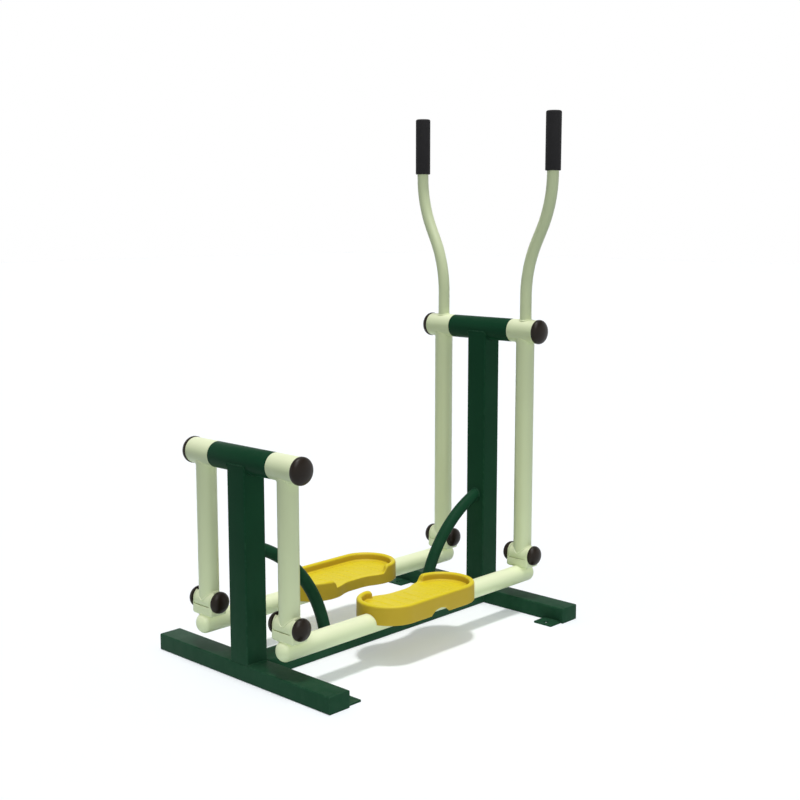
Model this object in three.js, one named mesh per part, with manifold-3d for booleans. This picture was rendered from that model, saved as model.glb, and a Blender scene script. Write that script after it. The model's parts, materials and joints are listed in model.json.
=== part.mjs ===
// Outdoor air walker for parks and playgrounds, in millimetres, +X forward to the handles, +Z up.
// Two posts on a welded base carry two pairs of swinging arms. Each pair carries a foot bar with a
// moulded foot tray, and the front arm of each pair runs on above its hub as a hand lever.
// The origin is on the ground, in the middle of the base.

import * as THREE from 'three';
import { mergeVertices } from 'three/addons/utils/BufferGeometryUtils.js';
import Module from 'manifold-3d';

const wasm = await Module();
wasm.setup();

// Clearances and counts that every piece shares
const fit_gap = 0.3; // between pieces that are welded, pressed or bolted together
const running_gap = 0.6; // between a shaft and what turns on it
const thrust_gap = 1; // between faces that turn past each other
const overrun = 30; // how far a cutting shape runs past what it cuts
const weld_tolerance = 0.0001;
const large_sides = 20; // flats round a hub, an arm or a foot bar
const small_sides = 16; // flats round a shaft or a pin
const bent_sides = 12; // flats round a bent tube
const bore_sides = 8; // flats round the inside of a tube
const nut_sides = 6;
const dome_steps = 3;
const corner_steps = 3;

// Layout
const axle_spacing = 1040;
const rear_axle_height = 635;
const front_axle_height = 939;
const lower_pivot_height = 192;
const arm_offset = 177.5; // from the middle of the machine to the middle of an arm
const rear_x = -axle_spacing / 2;
const front_x = axle_spacing / 2;

// Base and posts
const base_width = 750;
const cross_tube_width = 76;
const cross_tube_height = 50;
const spine_width = 88;
const post_size = 75;
const frame_wall = 3;
const tube_corner = 4;
const drain_radius = 5;
const drain_inset = 60;
const anchor_plate_reach = 52;
const anchor_plate_width = 70;
const anchor_plate_thickness = 5;
const anchor_plate_inset = 8;
const anchor_plate_corner = 4;
const anchor_hole_radius = 8;
const anchor_hole_reach = 30;

// Braces, bent to one radius
const brace_radius = 19;
const brace_wall = 2.5;
const brace_bend = 418;
const brace_height = 374; // where it meets the post
const brace_reach = 263; // from the post to where it meets the spine
const brace_steps = 8;

// Top hubs
const axle_tube_radius = 38;
const axle_tube_length = 250;
const axle_tube_wall = 5;
const axle_plug_depth = 24;
const sleeve_radius = 38;
const sleeve_wall = 5;
const sleeve_length = 101.5;
const shaft_radius = 15;
const bearing_width = 16;
const bearing_spread = 78; // over both bearings of one hub
const spacer_wall = 5;
const shaft_nut_radius = 25;
const shaft_nut_thickness = 9;
const shaft_thread_reach = 3;
const hub_cap_radius = 39.5;
const hub_cap_rim = 6;
const hub_cap_dome = 20;
const hub_cap_wall = 4;
const hub_cap_spigot = 7;

// Arms and hand levers
const arm_radius = 30;
const arm_wall = 3;
const lever_radius = 19;
const lever_wall = 2.5;
const lever_offset = 277.5; // from the middle of the machine to the upright part of a lever
const lever_straight = 115; // from the hub axis up to the first bend
const lever_slant = 43; // straight run between the two bends
const lever_neck = 9; // straight run between the upper bend and the grip
const lever_steps = 16;
const overall_height = 1639;
const grip_length = 186;
const grip_radius = 25;
const grip_edge = 5;
const grip_end_wall = 6;

// Lower pivots
const barrel_radius = 30;
const fork_width = 88;
const fork_ear = 8;
const fork_base = 6;
const fork_clearance = 1.5;
const fork_saddle = 5;
const fork_foot_half = 31; // half the width of the fork at its foot
const fork_foot_corner = 6;
const fork_wall_drop = 13.5; // from the pivot down to the walls that cradle the barrel
const pin_radius = 10;
const pin_reach = 10; // past each ear
const bush_lip_radius = 17;
const slot_gap = 0.8; // between the pin of a rear fork and the sides of its open slot
const slot_flare = 3.5; // how much wider that slot is at its top, each side
const lower_cap_radius = 32.5;
const lower_cap_rim = 4;
const lower_cap_dome = 20;

// Foot bars
const bar_radius = 30;
const bar_wall = 3;
const bar_overhang = 18; // past each lower pivot, up to its domed end
const bar_dome = 24;
const bar_drain_inset = 80;
const bar_top = lower_pivot_height - barrel_radius - fork_clearance - fork_base;
const bar_height = bar_top - bar_radius;

// Foot trays
const tray_length = 440;
const tray_half_width = 100;
const tray_forward = 5; // how far its middle is ahead of the middle of the foot bar
const tray_inward = 7; // and how far it is towards the middle of the machine
const tray_floor = 4;
const tray_rim_height = 24.5;
const tray_rim_wall = 11;
const tray_skirt_wall = 6;
const tray_skirt_bottom = bar_height;
const tray_waist_depth = 21;
const tray_waist_length = 40;
const tray_end_steps = 8;
const tray_waist_steps = 5;
const rim_gap_heel = -106; // the rim is left out between these two places on the inner side
const rim_gap_toe = 104;
const rim_gap_heel_slope = 20;
const rim_gap_toe_slope = 14;
const tray_cut_start = 40; // from the middle line of the tray to where its side cuts start
const ridge_count = 9;
const ridge_pitch = 40;
const ridge_width = 9;
const ridge_height = 1.5;
const ridge_margin = 7;
const rib_thickness = 6;
const rib_depth = 22;
const rib_place_shares = [-0.7, -0.3, 0.3, 0.7]; // of half the tray's length
const notch_radius = 54;
const notch_drop = 36; // from the bottom of the skirt down to the middle of the notch's arc

// Finishes
const finish = (name, color, roughness, metalness) =>
  new THREE.MeshStandardMaterial({ name, color, roughness, metalness, flatShading: true });
const green_paint = finish('green_paint', '#1f4030', 0.35, 0);
const cream_paint = finish('cream_paint', '#d9e3bb', 0.35, 0);
const cap_plastic = finish('cap_plastic', '#2e2725', 0.5, 0);
const grip_rubber = finish('grip_rubber', '#262628', 0.8, 0);
const tray_plastic = finish('tray_plastic', '#dcc23a', 0.5, 0);
const bare_steel = finish('bare_steel', '#9a9c9e', 0.4, 1);

// Solids: a closed geometry becomes a solid for cutting and joining, and comes back as a geometry
function toSolid(geometry) {
  const bare = geometry.clone();
  bare.deleteAttribute('normal');
  bare.deleteAttribute('uv');
  const merged = mergeVertices(bare, weld_tolerance);
  const index = merged.index.array;
  const triangles = [];
  for (let i = 0; i < index.length; i += 3) {
    const [a, b, c] = [index[i], index[i + 1], index[i + 2]];
    if (a !== b && b !== c && c !== a) triangles.push(a, b, c);
  }
  return new wasm.Manifold(new wasm.Mesh({
    numProp: 3,
    vertProperties: new Float32Array(merged.attributes.position.array),
    triVerts: new Uint32Array(triangles),
  }));
}

function toGeometry(solid) {
  const { vertProperties, triVerts } = solid.getMesh();
  const geometry = new THREE.BufferGeometry();
  geometry.setAttribute('position', new THREE.BufferAttribute(new Float32Array(vertProperties), 3));
  geometry.setIndex(new THREE.BufferAttribute(new Uint32Array(triVerts), 1));
  geometry.computeVertexNormals();
  return geometry;
}

const cut = (body, ...tools) =>
  tools.reduce((rest, tool) => rest.subtract(toSolid(tool)), toSolid(body));

const cutSolid = (solid, ...tools) =>
  tools.reduce((rest, tool) => rest.subtract(toSolid(tool)), solid);

const joinSolid = (solid, ...others) =>
  others.reduce((sum, other) => sum.add(toSolid(other)), solid);

// Shapes
const point = (x, y) => new THREE.Vector2(x, y);

function ring(radius, sides, x = 0, y = 0) {
  const turn = (2 * Math.PI) / sides;
  return Array.from({ length: sides }, (_, i) =>
    point(x + radius * Math.cos(i * turn), y + radius * Math.sin(i * turn)));
}

function shapeOf(outline, ...holes) {
  const shape = new THREE.Shape(outline);
  for (const hole of holes) shape.holes.push(new THREE.Path(hole));
  return shape;
}

// A rectangle with round corners, centred on (x, y)
function roundedRectangle(width, height, corner, x = 0, y = 0) {
  const points = [];
  const quarter = Math.PI / 2;
  const [right, top] = [width / 2 - corner, height / 2 - corner];
  const centres = [[right, top], [-right, top], [-right, -top], [right, -top]];
  centres.forEach(([cx, cy], side) => {
    for (let step = 0; step <= corner_steps; step += 1) {
      const angle = (side + step / corner_steps) * quarter;
      points.push(point(x + cx + corner * Math.cos(angle), y + cy + corner * Math.sin(angle)));
    }
  });
  return points;
}

// An outline in plan, raised from one height to another
function prism(shape, low, high) {
  const depth = high - low;
  return new THREE.ExtrudeGeometry(shape, { depth, bevelEnabled: false }).translate(0, 0, low);
}

// The same, with the outline seen from the side (X and Z), running along Y
const prismAlongY = (shape, low, high) => prism(shape, -high, -low).rotateX(Math.PI / 2);

// The same, with the outline seen from the back (Y and Z), running along X
const prismAlongX = (shape, low, high) =>
  prism(shape, low, high).rotateY(Math.PI / 2).rotateX(Math.PI / 2);

function box([x0, x1], [y0, y1], [z0, z1]) {
  return new THREE.BoxGeometry(x1 - x0, y1 - y0, z1 - z0)
    .translate((x0 + x1) / 2, (y0 + y1) / 2, (z0 + z1) / 2);
}

// A turned piece round the Y axis, from [radius, place along Y] pairs in either order
function turned(profile, sides) {
  const closed = profile[0][0] > 0;
  const loop = profile.map(([r, y]) => point(r, y));
  if (THREE.ShapeUtils.area(loop) < 0) loop.reverse();
  if (closed) loop.push(loop[0].clone());
  return new THREE.LatheGeometry(loop, sides);
}

// The corner radius of a faceted bore whose flats just clear a round of the given radius
const boreRadius = (radius, sides) => radius / Math.cos(Math.PI / sides);

const bar = (radius, sides, low, high) =>
  turned([[0, low], [radius, low], [radius, high], [0, high]], sides);

// A bent tube is straight runs and arcs in one plane, as it leaves the bender
class BentPath extends THREE.Curve {
  constructor(start, heading, runs, place) {
    super();
    this.start = start;
    this.heading = heading;
    this.runs = runs;
    this.place = place; // puts a plane point [along, up] into the machine
    this.total = runs.reduce((sum, run) => sum + run.length, 0);
  }

  getPoint(t, target = new THREE.Vector3()) {
    let left = t * this.total;
    let [a, b] = this.start;
    let angle = this.heading;
    for (const { length, radius } of this.runs) {
      const used = Math.min(left, length);
      if (radius) {
        const next = angle + used / radius;
        a += radius * (Math.sin(next) - Math.sin(angle));
        b += radius * (Math.cos(angle) - Math.cos(next));
        angle = next;
      } else {
        a += used * Math.cos(angle);
        b += used * Math.sin(angle);
      }
      left -= used;
      if (left <= 0) break;
    }
    return target.set(...this.place(a, b));
  }
}

function bentTube(path, outer, inner, steps) {
  const section = shapeOf(ring(outer, bent_sides), ring(inner, bore_sides));
  return new THREE.ExtrudeGeometry(section, { steps, extrudePath: path, bevelEnabled: false });
}

// The machine is a tree of groups: the frame, and on each side two arms and a foot bar
const air_walker = new THREE.Group();
air_walker.name = 'air_walker';

function piece(group, name, body, material) {
  const geometry = body.isBufferGeometry ? toGeometry(toSolid(body)) : toGeometry(body);
  const mesh = new THREE.Mesh(geometry, material);
  mesh.name = name;
  group.add(mesh);
  return mesh;
}

function groupAt(x, y, z) {
  const group = new THREE.Group();
  group.position.set(x, y, z);
  air_walker.add(group);
  return group;
}

// Base: two cross tubes with closed ends and drain holes, joined by a spine
function crossTube() {
  const half = base_width / 2;
  const mid = cross_tube_height / 2;
  const outside = shapeOf(roundedRectangle(cross_tube_width, cross_tube_height, tube_corner, 0, mid));
  const hollow_width = cross_tube_width - 2 * frame_wall;
  const hollow_height = cross_tube_height - 2 * frame_wall;
  const hollow_corner = tube_corner - frame_wall;
  const inside = shapeOf(roundedRectangle(hollow_width, hollow_height, hollow_corner, 0, mid));
  const drain_y = half - drain_inset;
  const drains = [-drain_y, drain_y].map((y) =>
    prism(shapeOf(ring(drain_radius, bore_sides, 0, y)), -overrun, mid));
  const hollow = prismAlongY(inside, -half + frame_wall, half - frame_wall);
  return cut(prismAlongY(outside, -half, half), hollow, ...drains);
}

function spineTube() {
  const half = axle_spacing / 2 - cross_tube_width / 2 - fit_gap;
  const mid = cross_tube_height / 2;
  const hollow_width = spine_width - 2 * frame_wall;
  const hollow_height = cross_tube_height - 2 * frame_wall;
  const hollow_corner = tube_corner - frame_wall;
  const section = shapeOf(
    roundedRectangle(spine_width, cross_tube_height, tube_corner, 0, mid),
    roundedRectangle(hollow_width, hollow_height, hollow_corner, 0, mid),
  );
  return prismAlongX(section, -half, half);
}

// Post: square tube, its top saddled to the axle tube
function post(axle_height) {
  const hollow = post_size - 2 * frame_wall;
  const section = shapeOf(
    roundedRectangle(post_size, post_size, tube_corner),
    roundedRectangle(hollow, hollow, tube_corner - frame_wall),
  );
  const saddle = bar(axle_tube_radius + fit_gap, large_sides, -post_size, post_size);
  const stock = prism(section, cross_tube_height + fit_gap, axle_height);
  return cut(stock, saddle.translate(0, 0, axle_height));
}

// Brace: one arc from the top of the spine to the inner face of a post. inward is +1 or -1 along X
function brace(inward) {
  const rise = brace_height - cross_tube_height;
  const chord = Math.hypot(brace_reach, rise);
  const half_turn = Math.asin(chord / 2 / brace_bend);
  const heading = Math.atan2(rise, brace_reach) + half_turn;
  const foot = post_size / 2 + brace_reach;
  const runs = [
    { length: overrun },
    { length: 2 * half_turn * brace_bend, radius: -brace_bend },
    { length: overrun },
  ];
  const start = [-foot - overrun * Math.cos(heading), cross_tube_height - overrun * Math.sin(heading)];
  const path = new BentPath(start, heading, runs, (a, b) => [-inward * a, 0, b]);
  const tube = bentTube(path, brace_radius, brace_radius - brace_wall, brace_steps);
  const half_post = post_size / 2 + fit_gap;
  const half_width = post_size;
  const post_box = box([-half_post, half_post], [-half_width, half_width], [0, rear_axle_height]);
  const spine_box = box([-axle_spacing, axle_spacing], [-half_width, half_width],
    [-overrun, cross_tube_height + fit_gap]);
  return cut(tube, post_box, spine_box);
}

// Anchor plate: lies on the ground against the inner side of a cross tube, with one bolt hole
function anchorPlate() {
  const reach = anchor_plate_reach;
  const half = anchor_plate_width / 2;
  const outline = [point(0, -half), point(reach - anchor_plate_corner, -half)];
  outline.push(point(reach, -half + anchor_plate_corner), point(reach, half - anchor_plate_corner));
  outline.push(point(reach - anchor_plate_corner, half), point(0, half));
  const hole = ring(anchor_hole_radius, bore_sides, anchor_hole_reach, 0);
  return prism(shapeOf(outline, hole), 0, anchor_plate_thickness);
}

// Axle tube: carries the shaft in a plug at each end
function axleTube() {
  const half = axle_tube_length / 2;
  const plug = half - axle_plug_depth;
  const bore = shaft_radius + fit_gap;
  const inner = axle_tube_radius - axle_tube_wall;
  return turned([
    [bore, -half], [axle_tube_radius, -half], [axle_tube_radius, half], [bore, half],
    [bore, plug], [inner, plug], [inner, -plug], [bore, -plug],
  ], large_sides);
}

// Where the pieces in a hub lie, from the middle of its arm, outwards
const sleeve_start = axle_tube_length / 2 + thrust_gap - arm_offset;
const sleeve_end = sleeve_start + sleeve_length;
const bearing_end = sleeve_start + bearing_spread;
const nut_start = bearing_end + thrust_gap;
const nut_end = nut_start + shaft_nut_thickness;

// Axle shaft: one bar through the axle tube and both hubs, with a nut at each end
function axleShaft() {
  const end = arm_offset + nut_end + shaft_thread_reach;
  const nut = [[0, nut_start], [shaft_nut_radius, nut_start], [shaft_nut_radius, nut_end], [0, nut_end]];
  const nuts = [-1, 1].map((side) =>
    turned(nut.map(([r, y]) => [r, side * (arm_offset + y)]), nut_sides));
  return joinSolid(toSolid(bar(shaft_radius, small_sides, -end, end)), ...nuts);
}

// Hub sleeve: turns round the end of the shaft, just past the axle tube
function hubSleeve(side) {
  const inner = sleeve_radius - sleeve_wall;
  const [low, high] = [side * sleeve_start, side * sleeve_end];
  return turned([[inner, low], [sleeve_radius, low], [sleeve_radius, high], [inner, high]], large_sides);
}

// Two bearings on the spacer that sets them apart
function hubBearings(side) {
  const bore = shaft_radius + running_gap;
  const outer = sleeve_radius - sleeve_wall - fit_gap;
  const spacer = bore + spacer_wall;
  const profile = [
    [bore, sleeve_start], [outer, sleeve_start],
    [outer, sleeve_start + bearing_width], [spacer, sleeve_start + bearing_width],
    [spacer, bearing_end - bearing_width], [outer, bearing_end - bearing_width],
    [outer, bearing_end], [bore, bearing_end],
  ];
  return turned(profile.map(([r, y]) => [r, side * y]), large_sides);
}

function dome(radius, seat, rim, height) {
  return Array.from({ length: dome_steps + 1 }, (_, i) => {
    const angle = ((i / dome_steps) * Math.PI) / 2;
    const r = i === dome_steps ? 0 : radius * Math.cos(angle);
    return [r, seat + rim + height * Math.sin(angle)];
  });
}

// Hub cap: a domed cover whose spigot plugs the end of the sleeve
function hubCap(side) {
  const seat = sleeve_end + fit_gap;
  const spigot = sleeve_radius - sleeve_wall - fit_gap;
  const hollow = spigot - hub_cap_wall;
  const profile = [
    [0, seat + hub_cap_wall], [hollow, seat + hub_cap_wall],
    [hollow, seat - hub_cap_spigot], [spigot, seat - hub_cap_spigot],
    [spigot, seat], [hub_cap_radius, seat],
    ...dome(hub_cap_radius, seat, hub_cap_rim, hub_cap_dome),
  ];
  return turned(profile.map(([r, y]) => [r, side * y]), large_sides);
}

// Arm: a tube from the barrel up to the hub, saddled to both
function armTube(length) {
  const stock = prism(shapeOf(ring(arm_radius, large_sides), ring(arm_radius - arm_wall, bore_sides)),
    -length, 0);
  const hub = bar(sleeve_radius + fit_gap, large_sides, -sleeve_length, sleeve_length);
  const barrel = bar(barrel_radius + fit_gap, small_sides, -sleeve_length, sleeve_length);
  return cut(stock, hub, barrel.translate(0, 0, -length));
}

// Hand lever: up from the hub, two equal bends outwards and back, then upright into the grip.
// The bends fill the height that the straight runs leave
function lever(side) {
  const spread = lever_offset - arm_offset;
  const upright = lever_neck + grip_length - grip_end_wall - fit_gap;
  const rise = overall_height - grip_end_wall - fit_gap - front_axle_height;
  const bends_rise = rise - lever_straight - upright;
  const bend_angle = 2 * Math.atan(spread / (bends_rise + lever_slant));
  const bend_radius = (bends_rise - lever_slant * Math.cos(bend_angle)) / (2 * Math.sin(bend_angle));
  const arc = bend_radius * bend_angle;
  const runs = [
    { length: lever_straight },
    { length: arc, radius: -bend_radius },
    { length: lever_slant },
    { length: arc, radius: bend_radius },
    { length: upright },
  ];
  const path = new BentPath([0, 0], Math.PI / 2, runs, (a, b) => [0, side * a, b]);
  const tube = bentTube(path, lever_radius, lever_radius - lever_wall, lever_steps);
  return cut(tube, bar(sleeve_radius + fit_gap, large_sides, -sleeve_length, sleeve_length));
}

// Grip: a rubber sleeve closed at the top. Its Y axis stands upright once it is placed
function grip() {
  const bore = boreRadius(lever_radius + fit_gap, small_sides);
  const ceiling = grip_length - grip_end_wall;
  return turned([
    [0, ceiling], [bore, ceiling], [bore, 0], [grip_radius - grip_edge, 0],
    [grip_radius, grip_edge], [grip_radius, grip_length - grip_edge],
    [grip_radius - grip_edge, grip_length], [0, grip_length],
  ], small_sides);
}

// Barrel at the foot of an arm, with the lips of its bushes at both ends
const ear_inside = fork_width / 2 - fork_ear;

function barrel() {
  const bore = pin_radius + running_gap;
  const lip = ear_inside - fit_gap;
  const end = ear_inside - thrust_gap;
  return turned([
    [bore, -lip], [bush_lip_radius, -lip], [bush_lip_radius, -end], [barrel_radius, -end],
    [barrel_radius, end], [bush_lip_radius, end], [bush_lip_radius, lip], [bore, lip],
  ], small_sides);
}

function pivotPin() {
  const end = fork_width / 2 + pin_reach;
  return bar(pin_radius, small_sides, -end, end);
}

// Cap over an ear and the end of the pin. facing is +1 or -1 along Y
function lowerCap(facing) {
  const seat = fork_width / 2 + fit_gap;
  const socket = pin_radius + fit_gap;
  const depth = fork_width / 2 + pin_reach + fit_gap;
  const profile = [
    [0, depth], [socket, depth], [socket, seat], [lower_cap_radius, seat],
    ...dome(lower_cap_radius, seat, lower_cap_rim, lower_cap_dome),
  ];
  return turned(profile.map(([r, y]) => [r, facing * y]), small_sides);
}

// Fork: two round-topped ears and, between them, a base that cradles the barrel. It is saddled to the
// foot bar, round the pivot at its origin
function forkBlank() {
  const half = fork_width / 2;
  const cradle_radius = barrel_radius + fork_clearance;
  const base_low = -cradle_radius - fork_base - fork_saddle;
  const ear = [];
  for (const side of [-1, 1]) {
    const inner = point(side * (fork_foot_half - fork_foot_corner), base_low);
    const outer = point(side * fork_foot_half, base_low + fork_foot_corner);
    ear.push(...(side < 0 ? [outer, inner] : [inner, outer]));
  }
  for (let step = 0; step <= small_sides / 2; step += 1) {
    const angle = (step * 2 * Math.PI) / small_sides;
    ear.push(point(barrel_radius * Math.cos(angle), barrel_radius * Math.sin(angle)));
  }
  const block = prismAlongY(shapeOf(ear), -half, half);
  const reach = cradle_radius + overrun;
  const gap = box([-reach, reach], [-ear_inside, ear_inside], [-fork_wall_drop, reach]);
  const cradle = bar(boreRadius(cradle_radius, small_sides), small_sides, -ear_inside, ear_inside);
  const foot_bar = prismAlongX(shapeOf(ring(bar_radius + fit_gap, large_sides)), -reach, reach);
  return cut(block, gap, cradle, foot_bar.translate(0, 0, bar_height - lower_pivot_height));
}

// The front fork has a round hole in each ear
function frontFork() {
  return cutSolid(forkBlank(), bar(pin_radius + fit_gap, small_sides, -fork_width, fork_width));
}

// The rear fork has a slot in each ear, open at the top and a little wider there
function rearFork() {
  const seat = pin_radius + slot_gap;
  const top = barrel_radius + overrun;
  const flare = seat + (slot_flare * top) / barrel_radius;
  const slot = shapeOf([point(-seat, 0), point(seat, 0), point(flare, top), point(-flare, top)]);
  return cutSolid(forkBlank(), bar(seat, small_sides, -fork_width, fork_width),
    prismAlongY(slot, -fork_width, fork_width));
}

// Foot bar: a tube with domed ends and drain holes near them
function footBar() {
  const half = axle_spacing / 2 + bar_overhang;
  const end = dome(bar_radius, half, 0, bar_dome);
  const outside = turned([...end.map(([r, x]) => [r, -x]).reverse(), ...end], large_sides);
  const bore = bar(bar_radius - bar_wall, bore_sides, -half, half);
  const drain_x = half - bar_drain_inset;
  const drains = [-drain_x, drain_x].map((x) =>
    prism(shapeOf(ring(drain_radius, bore_sides, x, 0)), -bar_radius - overrun, 0));
  return cut(outside.rotateZ(-Math.PI / 2), bore.rotateZ(-Math.PI / 2), ...drains);
}

// Foot tray outline in plan: a long round-ended shape with a waist on its inner side.
// side is +1 on the left and -1 on the right, and outwards is side along Y
function trayOutline(side) {
  const centre = tray_length / 2 - tray_half_width;
  const waist_y = -(tray_half_width - tray_waist_depth);
  const waist_x = tray_waist_length / 2;
  const points = [];
  for (let step = 0; step <= 2 * tray_end_steps; step += 1) {
    const angle = Math.PI / 2 - (step * Math.PI) / 2 / tray_end_steps;
    points.push([centre + tray_half_width * Math.cos(angle), tray_half_width * Math.sin(angle)]);
  }
  const shoulder = (x_out, x_in) => {
    const middle = (x_out + x_in) / 2;
    return new THREE.CubicBezierCurve(point(x_out, -tray_half_width), point(middle, -tray_half_width),
      point(middle, waist_y), point(x_in, waist_y));
  };
  const toe = shoulder(centre, waist_x).getPoints(tray_waist_steps).slice(1);
  const heel = shoulder(-centre, -waist_x).getPoints(tray_waist_steps).reverse().slice(0, -1);
  points.push(...toe.map((p) => [p.x, p.y]), ...heel.map((p) => [p.x, p.y]));
  for (let step = 0; step <= 2 * tray_end_steps; step += 1) {
    const angle = -Math.PI / 2 - (step * Math.PI) / 2 / tray_end_steps;
    points.push([-centre + tray_half_width * Math.cos(angle), tray_half_width * Math.sin(angle)]);
  }
  return points.map(([x, y]) => point(x, side * y));
}

// The outline moved inwards by a wall, each point along the line that halves its corner
function inset(outline, distance) {
  const inward = THREE.ShapeUtils.isClockWise(outline) ? -1 : 1;
  return outline.map((here, i) => {
    const before = outline[(i + outline.length - 1) % outline.length];
    const after = outline[(i + 1) % outline.length];
    const along = after.clone().sub(before).normalize();
    return point(here.x - inward * along.y * distance, here.y + inward * along.x * distance);
  });
}

// Foot tray: floor with cross ridges, rim, skirt that arches over the foot bar, and ribs below
function footTray(side) {
  const outline = trayOutline(side);
  const floor_low = bar_top + fit_gap;
  const floor_top = floor_low + tray_floor;
  const rim_top = floor_top + tray_rim_height;
  const rim_inside = shapeOf(inset(outline, tray_rim_wall));
  const skirt_inside = shapeOf(inset(outline, tray_skirt_wall));
  const ridge_area = shapeOf(inset(outline, tray_rim_wall + ridge_margin));
  const reach = tray_half_width + overrun;
  const shell = cut(prism(shapeOf(outline), tray_skirt_bottom, rim_top),
    prism(rim_inside, floor_top, rim_top + overrun),
    prism(skirt_inside, tray_skirt_bottom - overrun, floor_low));

  // The rim is open along the waist, and slopes up at both ends of the gap
  const heel_top = rim_gap_heel - rim_gap_heel_slope;
  const toe_top = rim_gap_toe + rim_gap_toe_slope;
  const gap_profile = shapeOf([
    point(rim_gap_heel, floor_top), point(rim_gap_toe, floor_top),
    point(toe_top, rim_top), point(toe_top, rim_top + overrun),
    point(heel_top, rim_top + overrun), point(heel_top, rim_top),
  ]);
  const gap_y = [-side * tray_cut_start, -side * reach].sort((a, b) => a - b);
  const rim_gap = prismAlongY(gap_profile, ...gap_y);

  // Ridges across the floor, and ribs under it
  const half_pattern = ((ridge_count - 1) * ridge_pitch) / 2;
  const ridges = Array.from({ length: ridge_count }, (_, i) => {
    const x = i * ridge_pitch - half_pattern;
    return box([x - ridge_width / 2, x + ridge_width / 2], [-reach, reach],
      [floor_top - ridge_height, floor_top + ridge_height]);
  });
  const ridge_block = toSolid(prism(ridge_area, floor_top - ridge_height, floor_top + ridge_height));
  const ribs = rib_place_shares.map((share) => {
    const x = (share * tray_length) / 2;
    return box([x - rib_thickness / 2, x + rib_thickness / 2], [-reach, reach],
      [floor_low - rib_depth, floor_low + ridge_height]);
  });
  const rib_block = toSolid(prism(shapeOf(inset(outline, tray_skirt_wall / 2)),
    floor_low - rib_depth, floor_low + ridge_height));
  const ridge_bars = joinSolid(toSolid(ridges[0]), ...ridges.slice(1));
  const rib_plates = joinSolid(toSolid(ribs[0]), ...ribs.slice(1));
  const tray = shell.subtract(toSolid(rim_gap))
    .add(ridge_block.intersect(ridge_bars))
    .add(rib_block.intersect(rib_plates));

  // Room for the foot bar at both ends and through the ribs, and a notch in the outer skirt
  const bar_y = side * tray_inward;
  const bar_way = prismAlongX(shapeOf(ring(bar_radius + fit_gap, large_sides, bar_y, bar_height)),
    -tray_length, tray_length);
  const notch = shapeOf(ring(notch_radius, large_sides, 0, tray_skirt_bottom - notch_drop));
  const notch_y = [side * tray_cut_start, side * reach].sort((a, b) => a - b);
  return cutSolid(tray, bar_way, prismAlongY(notch, ...notch_y));
}

// Frame
const frame = groupAt(0, 0, 0);
piece(frame, 'spine_tube', spineTube(), green_paint);
const ends = [
  { end: 'rear', x: rear_x, height: rear_axle_height, inward: 1 },
  { end: 'front', x: front_x, height: front_axle_height, inward: -1 },
];
const sides = [{ hand: 'left', side: 1 }, { hand: 'right', side: -1 }];

for (const { end, x, height, inward } of ends) {
  piece(frame, `${end}_cross_tube`, crossTube(), green_paint).position.x = x;
  piece(frame, `${end}_post`, post(height), green_paint).position.x = x;
  piece(frame, `${end}_brace`, brace(inward), green_paint).position.x = x;
  const axle_tube = piece(frame, `${end}_axle_tube`, axleTube(), green_paint);
  axle_tube.position.set(x, 0, height);
  piece(frame, `${end}_axle_shaft`, axleShaft(), bare_steel).position.set(x, 0, height);
  for (const { hand, side } of sides) {
    const plate = piece(frame, `${end}_${hand}_anchor_plate`, anchorPlate(), green_paint);
    const plate_x = x + inward * (cross_tube_width / 2 + fit_gap);
    const plate_y = side * (base_width / 2 - anchor_plate_inset - anchor_plate_width / 2);
    plate.position.set(plate_x, plate_y, 0);
    plate.rotation.z = inward > 0 ? 0 : Math.PI;
  }
}

// Arms: the hub, its bearings and cap, the arm itself and the barrel at its foot
for (const { hand, side } of sides) {
  for (const { end, x, height } of ends) {
    const name = `${end}_${hand}`;
    const length = height - lower_pivot_height;
    const arm = groupAt(x, side * arm_offset, height);
    piece(arm, `${name}_hub_sleeve`, hubSleeve(side), cream_paint);
    piece(arm, `${name}_hub_bearings`, hubBearings(side), bare_steel);
    piece(arm, `${name}_hub_cap`, hubCap(side), cap_plastic);
    piece(arm, `${name}_arm_tube`, armTube(length), cream_paint);
    piece(arm, `${name}_barrel`, barrel(), cream_paint).position.z = -length;
  }

  // Hand lever and grip, on the front hub
  const lever_group = groupAt(front_x, side * arm_offset, front_axle_height);
  piece(lever_group, `${hand}_lever`, lever(side), cream_paint);
  const grip_mesh = piece(lever_group, `${hand}_grip`, grip(), grip_rubber);
  const grip_z = overall_height - grip_length - front_axle_height;
  grip_mesh.position.set(0, side * (lever_offset - arm_offset), grip_z);
  grip_mesh.rotation.x = Math.PI / 2;

  // Foot bar with its tray, and at each end the fork, the pin and the two caps of a lower pivot
  const foot = groupAt(0, side * arm_offset, 0);
  piece(foot, `${hand}_foot_bar`, footBar(), cream_paint).position.z = bar_height;
  const tray = piece(foot, `${hand}_foot_tray`, footTray(side), tray_plastic);
  tray.position.set(tray_forward, -side * tray_inward, 0);
  for (const { end, x } of ends) {
    const name = `${end}_${hand}`;
    const pivot = groupAt(x, side * arm_offset, lower_pivot_height);
    piece(pivot, `${name}_fork`, end === 'front' ? frontFork() : rearFork(), cream_paint);
    piece(pivot, `${name}_pivot_pin`, pivotPin(), bare_steel);
    piece(pivot, `${name}_outer_pivot_cap`, lowerCap(side), cap_plastic);
    piece(pivot, `${name}_inner_pivot_cap`, lowerCap(-side), cap_plastic);
  }
}

export default air_walker;
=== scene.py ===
# %% [markdown]
# # An outdoor air walker, dressed for its picture
#
# The machine stands in a park. Two posts on a welded base carry two pairs of swinging arms. Each
# pair holds a foot bar with a moulded tray, and the front arm of each pair runs on upwards as a
# hand lever. The solids come from the CAD model, which fixes every size and place. This notebook
# gives each of them a finer skin, its paint, rubber or plastic, and the weld beads between them.
# Lengths are in millimetres, as in the workshop drawing, and turn into metres when a mesh is made.

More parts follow.
